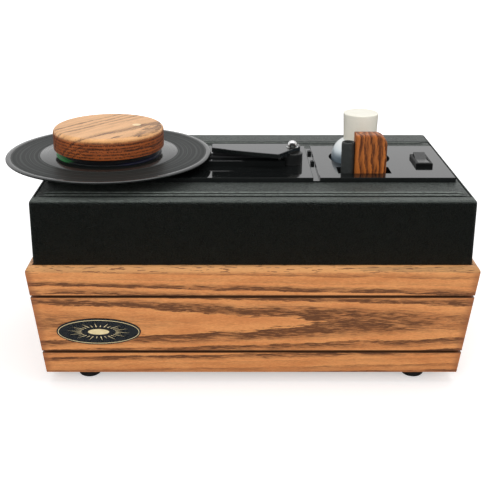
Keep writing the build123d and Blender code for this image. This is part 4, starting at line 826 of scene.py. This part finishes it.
# One pale filled spot near the top's right edge
spot = (-8.25, -0.4, puck_top)
spot_r = 0.34
off_spot = vector_calc(tree, "DISTANCE", where, spot)
filled = ramp(tree, off_spot, spot_r, spot_r + 0.05, 1.0, 0.0)
sided = mix_colour(tree, filled, sided, (0.93, 0.7, 0.4, 1))
connect(tree, shader, grain, 0.0001, ("Roughness",))
tree.links.new(sided, shader.inputs["Base Color"])
dress(puck_oak, "puck")
pad_rubber = mottled("pad_rubber", (0.01, 0.01, 0.011), (0.017, 0.017, 0.018), (0.4, 0.6), 3.0, 0.00004)
dress(pad_rubber, "puck_pad")

# ---------------------------------------------------------------- vacuum slot
# A raised acrylic bar holds the vacuum slot, with a lip of short black pile on each side of it.
# The pile is glued on, and keeps the record's surface from touching the bar.
felt_black = mottled("felt_black", (0.02, 0.02, 0.021), (0.034, 0.034, 0.036), (0.85, 0.95), 6.0, 0.0002)


def made_mesh(host):
    """The mesh that an object's modifiers make, in place of the object."""
    mesh = bpy.data.meshes.new_from_object(host.evaluated_get(bpy.context.evaluated_depsgraph_get()))
    bpy.data.objects.remove(host)
    return mesh


def soft_piece(name, node, material, cell, pit, body):
    """A soft pad over a node's own form: rounded at its edges, with open cells pressed into it."""
    host = new_object(name + "_host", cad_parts[node].data.copy())
    skin = host.modifiers.new("skin", "REMESH")
    skin.mode = "VOXEL"
    skin.voxel_size = cell
    rounding = host.modifiers.new("rounding", "SMOOTH")
    rounding.factor = 0.5
    rounding.iterations = 3
    mesh = made_mesh(host)
    pressed = []
    for vertex in mesh.vertices:
        rough = noise_at(vertex.co / (cell * 2.2)) + 0.6 * noise_at(vertex.co / (cell * 6.0))
        pressed.append(vertex.co - vertex.normal * pit * max(0.0, 0.35 + rough))
    for vertex, point in zip(mesh.vertices, pressed):
        vertex.co = point
    mesh.materials.clear()
    mesh.materials.append(material)
    mesh.shade_smooth()
    piece = add_piece(name, mesh, body)
    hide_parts(node)


soft_piece("lip_pads", "slot_lips", felt_black, 0.0004, 0.0001, "cabinet")

# Fibres stand on the lips at random, each a thin cone
pile_sizes = {"Density": 9.0e6, "Length": 0.0005, "Root Radius": 0.00007, "Tip Radius": 0.00002}
fibre_lean = 0.35
pile_tree = bpy.data.node_groups.new("pile_fibres", "GeometryNodeTree")
pile_tree.interface.new_socket("Geometry", in_out="INPUT", socket_type="NodeSocketGeometry")
pile_keys = {}
for label in pile_sizes:
    socket = pile_tree.interface.new_socket(label, in_out="INPUT", socket_type="NodeSocketFloat")
    pile_keys[label] = socket.identifier
pile_tree.interface.new_socket("Geometry", in_out="OUTPUT", socket_type="NodeSocketGeometry")
given = pile_tree.nodes.new("NodeGroupInput").outputs
inputs = {"Mesh": given["Geometry"], "Density": given["Density"], "Seed": 7}
points = add_node(pile_tree, "GeometryNodeDistributePointsOnFaces", inputs).outputs["Points"]
inputs = {"Vertices": 4, "Depth": given["Length"]}
inputs.update({"Radius Top": given["Tip Radius"], "Radius Bottom": given["Root Radius"]})
fibre = add_node(pile_tree, "GeometryNodeMeshCone", inputs).outputs["Mesh"]
inputs = {0: (-fibre_lean, -fibre_lean, 0.0), 1: (fibre_lean, fibre_lean, 3.1), "Seed": 3}
lean = add_node(pile_tree, "FunctionNodeRandomValue", inputs, data_type="FLOAT_VECTOR").outputs[0]
inputs = {"Points": points, "Instance": fibre, "Rotation": lean}
planted = add_node(pile_tree, "GeometryNodeInstanceOnPoints", inputs).outputs[0]
real = add_node(pile_tree, "GeometryNodeRealizeInstances", {0: planted}).outputs[0]
black = add_node(pile_tree, "GeometryNodeSetMaterial", {"Geometry": real, "Material": felt_black}).outputs[0]
add_node(pile_tree, "NodeGroupOutput", {0: black})

lips_low, lips_mid, lips_high = box_of("slot_lips")
slot_half = 0.0012
bed_in = 0.0006
bed_z = lips_high.z - pile_sizes["Length"]
bed_points = []
for front, back in ((lips_low.y, lips_mid.y - slot_half), (lips_mid.y + slot_half, lips_high.y)):
    left, right = lips_low.x + bed_in, lips_high.x - bed_in
    near, far = front + bed_in, back - bed_in
    bed_points += [(left, near, bed_z), (right, near, bed_z), (right, far, bed_z), (left, far, bed_z)]
pile_bed = bpy.data.meshes.new("pile_bed")
pile_bed.from_pydata(bed_points, [], [(0, 1, 2, 3), (4, 5, 6, 7)])
pile_host = new_object("pile_host", pile_bed)
pile_maker = pile_host.modifiers.new("pile", "NODES")
pile_maker.node_group = pile_tree
for label, size in pile_sizes.items():
    pile_maker[pile_keys[label]] = size
add_piece("lip_pile", made_mesh(pile_host), "cabinet")

# ---------------------------------------------------------------- slot cover
# A cranked acrylic arm swings over the slot on a bolt through a moulded post.
# A chromed dome nut and a washer hold it, and a soft pad beneath it seals the slot.
chrome = turned("chrome_plate", "dome_nut", (0.78, 0.78, 0.77), (0.7, 0.7, 0.7), 0.06, 0.05, metal, 0.000001)
dress(chrome, "dome_nut")
bolt_steel = turned("bolt_steel", "pivot_bolt", (0.6, 0.6, 0.58), (0.48, 0.48, 0.47), 0.25, 0.03, metal)
dress(bolt_steel, "pivot_bolt", "arm_washer")
soft_piece("arm_cushion", "arm_pad", felt_black, 0.0005, 0.00015, "slot_cover")

# ---------------------------------------------------------------- fluid bottle
# A round-shouldered bottle of soft white plastic stands in its hole in the deck.
# A tapered overcap is pushed on over its spout.
bottle_plastic, tree, shader = new_material("bottle_plastic", (0.6, 0.68, 0.73), 0.2, {"IOR": 1.52})
where = placed(tree, per_cm)
cloudy = use_group(tree, mottle, where, {
    "First": (0.7, 0.78, 0.82, 1),
    "Second": (0.62, 0.72, 0.77, 1),
    "Fineness": 0.8,
    "Least Roughness": 0.14,
    "Most Roughness": 0.24,
})
# Darker blue-grey towards the bottom and whiter from the shoulder up
low_band_z = 16.7
shoulder_z = 17.0
height = split(tree, where)[2]
low_band = ramp(tree, height, low_band_z, low_band_z + 0.8, 1.0, 0.0)
shaded = mix_colour(tree, low_band, cloudy["Color"], (0.14, 0.185, 0.22, 1))
shoulder = ramp(tree, height, shoulder_z, shoulder_z + 1.0)
shaded = mix_colour(tree, shoulder, shaded, (0.84, 0.87, 0.87, 1))
connect(tree, shader, cloudy, 0.00002, ("Roughness",))
tree.links.new(shaded, shader.inputs["Base Color"])
dress(bottle_plastic, "bottle_body", "bottle_spout")
cap_plastic = mottled("cap_plastic", (0.93, 0.9, 0.79), (0.9, 0.87, 0.75), (0.28, 0.4), 1.0, 0.00002)
dress(cap_plastic, "bottle_cap")

# ---------------------------------------------------------------- applicator brush
# An oak handle with a hollow sleeve of closed-cell foam along one edge, glued into its groove.
# The handle's grain runs upright and is finer than the boards', and its corners are rounded over.
handle_oak, tree, shader = new_material("handle_oak", (0.5, 0.18, 0.05), 0.36, {"IOR": 1.47})
handle_scale = 170.0
handle_heart = (0.0, 14.0, -19.4)
handle_turn = (0, 90, 0)
grain = use_group(tree, oak, placed(tree, handle_scale, handle_heart, handle_turn), {
    "Pale": (0.6, 0.18, 0.034, 1),
    "Warm": (0.42, 0.12, 0.023, 1),
    "Band": (0.12, 0.033, 0.012, 1),
    "Dark": (0.025, 0.01, 0.006, 1),
    "Ring Spacing": 0.8,
    "Taper": 0.05,
    "Strength": 2.0,
    "Wander": 2.0,
    "Band Width": 0.85,
    "Ring Start": 0.3,
    "Ragged": 0.75,
    "Luck": 23.0,
})
connect(tree, shader, grain, 0.00014)
dress(handle_oak, "brush_handle")
foam_grey = mottled("foam_grey", (0.032, 0.036, 0.035), (0.046, 0.05, 0.049), (0.6, 0.8), 3.5, 0.00012)
soft_piece("foam_tube", "foam_sleeve", foam_grey, 0.0006, 0.00025, "brush")

# ---------------------------------------------------------------- rocker switch
# A bought-in rocker switch snapped into the deck, its frame and rocker moulded in black.
# The rocker tilts on a pin through the frame.
switch_black = polished("switch_black", (0.014, 0.015, 0.015), (0.024, 0.025, 0.025), 0.24, {"IOR": 1.65})
dress(switch_black, "rocker")
frame_black = mottled(
    "frame_black", (0.006, 0.0065, 0.0065), (0.01, 0.0105, 0.0105), (0.42, 0.55), 2.0, 0.00002,
    {"Specular IOR Level": 0.2},
)
dress(frame_black, "switch_body")

# ---------------------------------------------------------------- waste tank and hose
# A tank of natural translucent plastic under the deck catches the used fluid.
# A rubber hose joins its lid to the slot's plenum, and a plug closes the drain at the back.
tank_plastic = mottled("tank_plastic", (0.72, 0.71, 0.64), (0.66, 0.65, 0.58), (0.35, 0.5), 0.7, 0.00003)
dress(tank_plastic, "waste_tank", "tank_lid")
hose_rubber = mottled("hose_rubber", (0.05, 0.05, 0.05), (0.07, 0.07, 0.07), (0.5, 0.65), 2.0, 0.00005)
dress(hose_rubber, "suction_hose")
dress(zinc, "hose_clamps")
plug_rubber = mottled("plug_rubber", (0.02, 0.02, 0.02), (0.03, 0.03, 0.03), (0.5, 0.7), 3.0, 0.00004)
dress(plug_rubber, "drain_plug")

# ---------------------------------------------------------------- suction fan and motor
# Pressed steel housings over the tank hold a bladed impeller on the motor's shaft.
# The shaft runs in two ball bearings.
pressed_steel = mottled("pressed_steel", (0.5, 0.5, 0.49), (0.4, 0.4, 0.39), (0.3, 0.5), 0.6, 0.00003, metal)
dress(pressed_steel, "fan_housing", "impeller")
frame_paint = mottled("frame_paint", (0.06, 0.065, 0.07), (0.09, 0.095, 0.1), (0.4, 0.55), 1.0, 0.00003)
dress(frame_paint, "motor_frame")
rotor_steel = turned("rotor_steel", "motor_rotor", (0.5, 0.48, 0.45), (0.38, 0.37, 0.35), 0.28, 0.05, metal)
dress(rotor_steel, "motor_rotor", "motor_bearings")

# ---------------------------------------------------------------- back of the case
# A moulded mains inlet with three flat pins, and a painted grille for the fan's outlet.
# Both are screwed to the back wall through the covering.
inlet_plastic = mottled(
    "inlet_plastic", (0.014, 0.014, 0.014), (0.022, 0.022, 0.022), (0.35, 0.5), 1.5, 0.00002
)
dress(inlet_plastic, "mains_inlet")
pin_brass = mottled("pin_brass", (0.7, 0.66, 0.56), (0.6, 0.56, 0.46), (0.2, 0.35), 3.0, 0.00001, metal)
dress(pin_brass, "inlet_pins")
grille_paint = mottled(
    "grille_paint", (0.016, 0.016, 0.017), (0.026, 0.026, 0.027), (0.4, 0.55), 2.0, 0.00003
)
dress(grille_paint, "exhaust_grille")
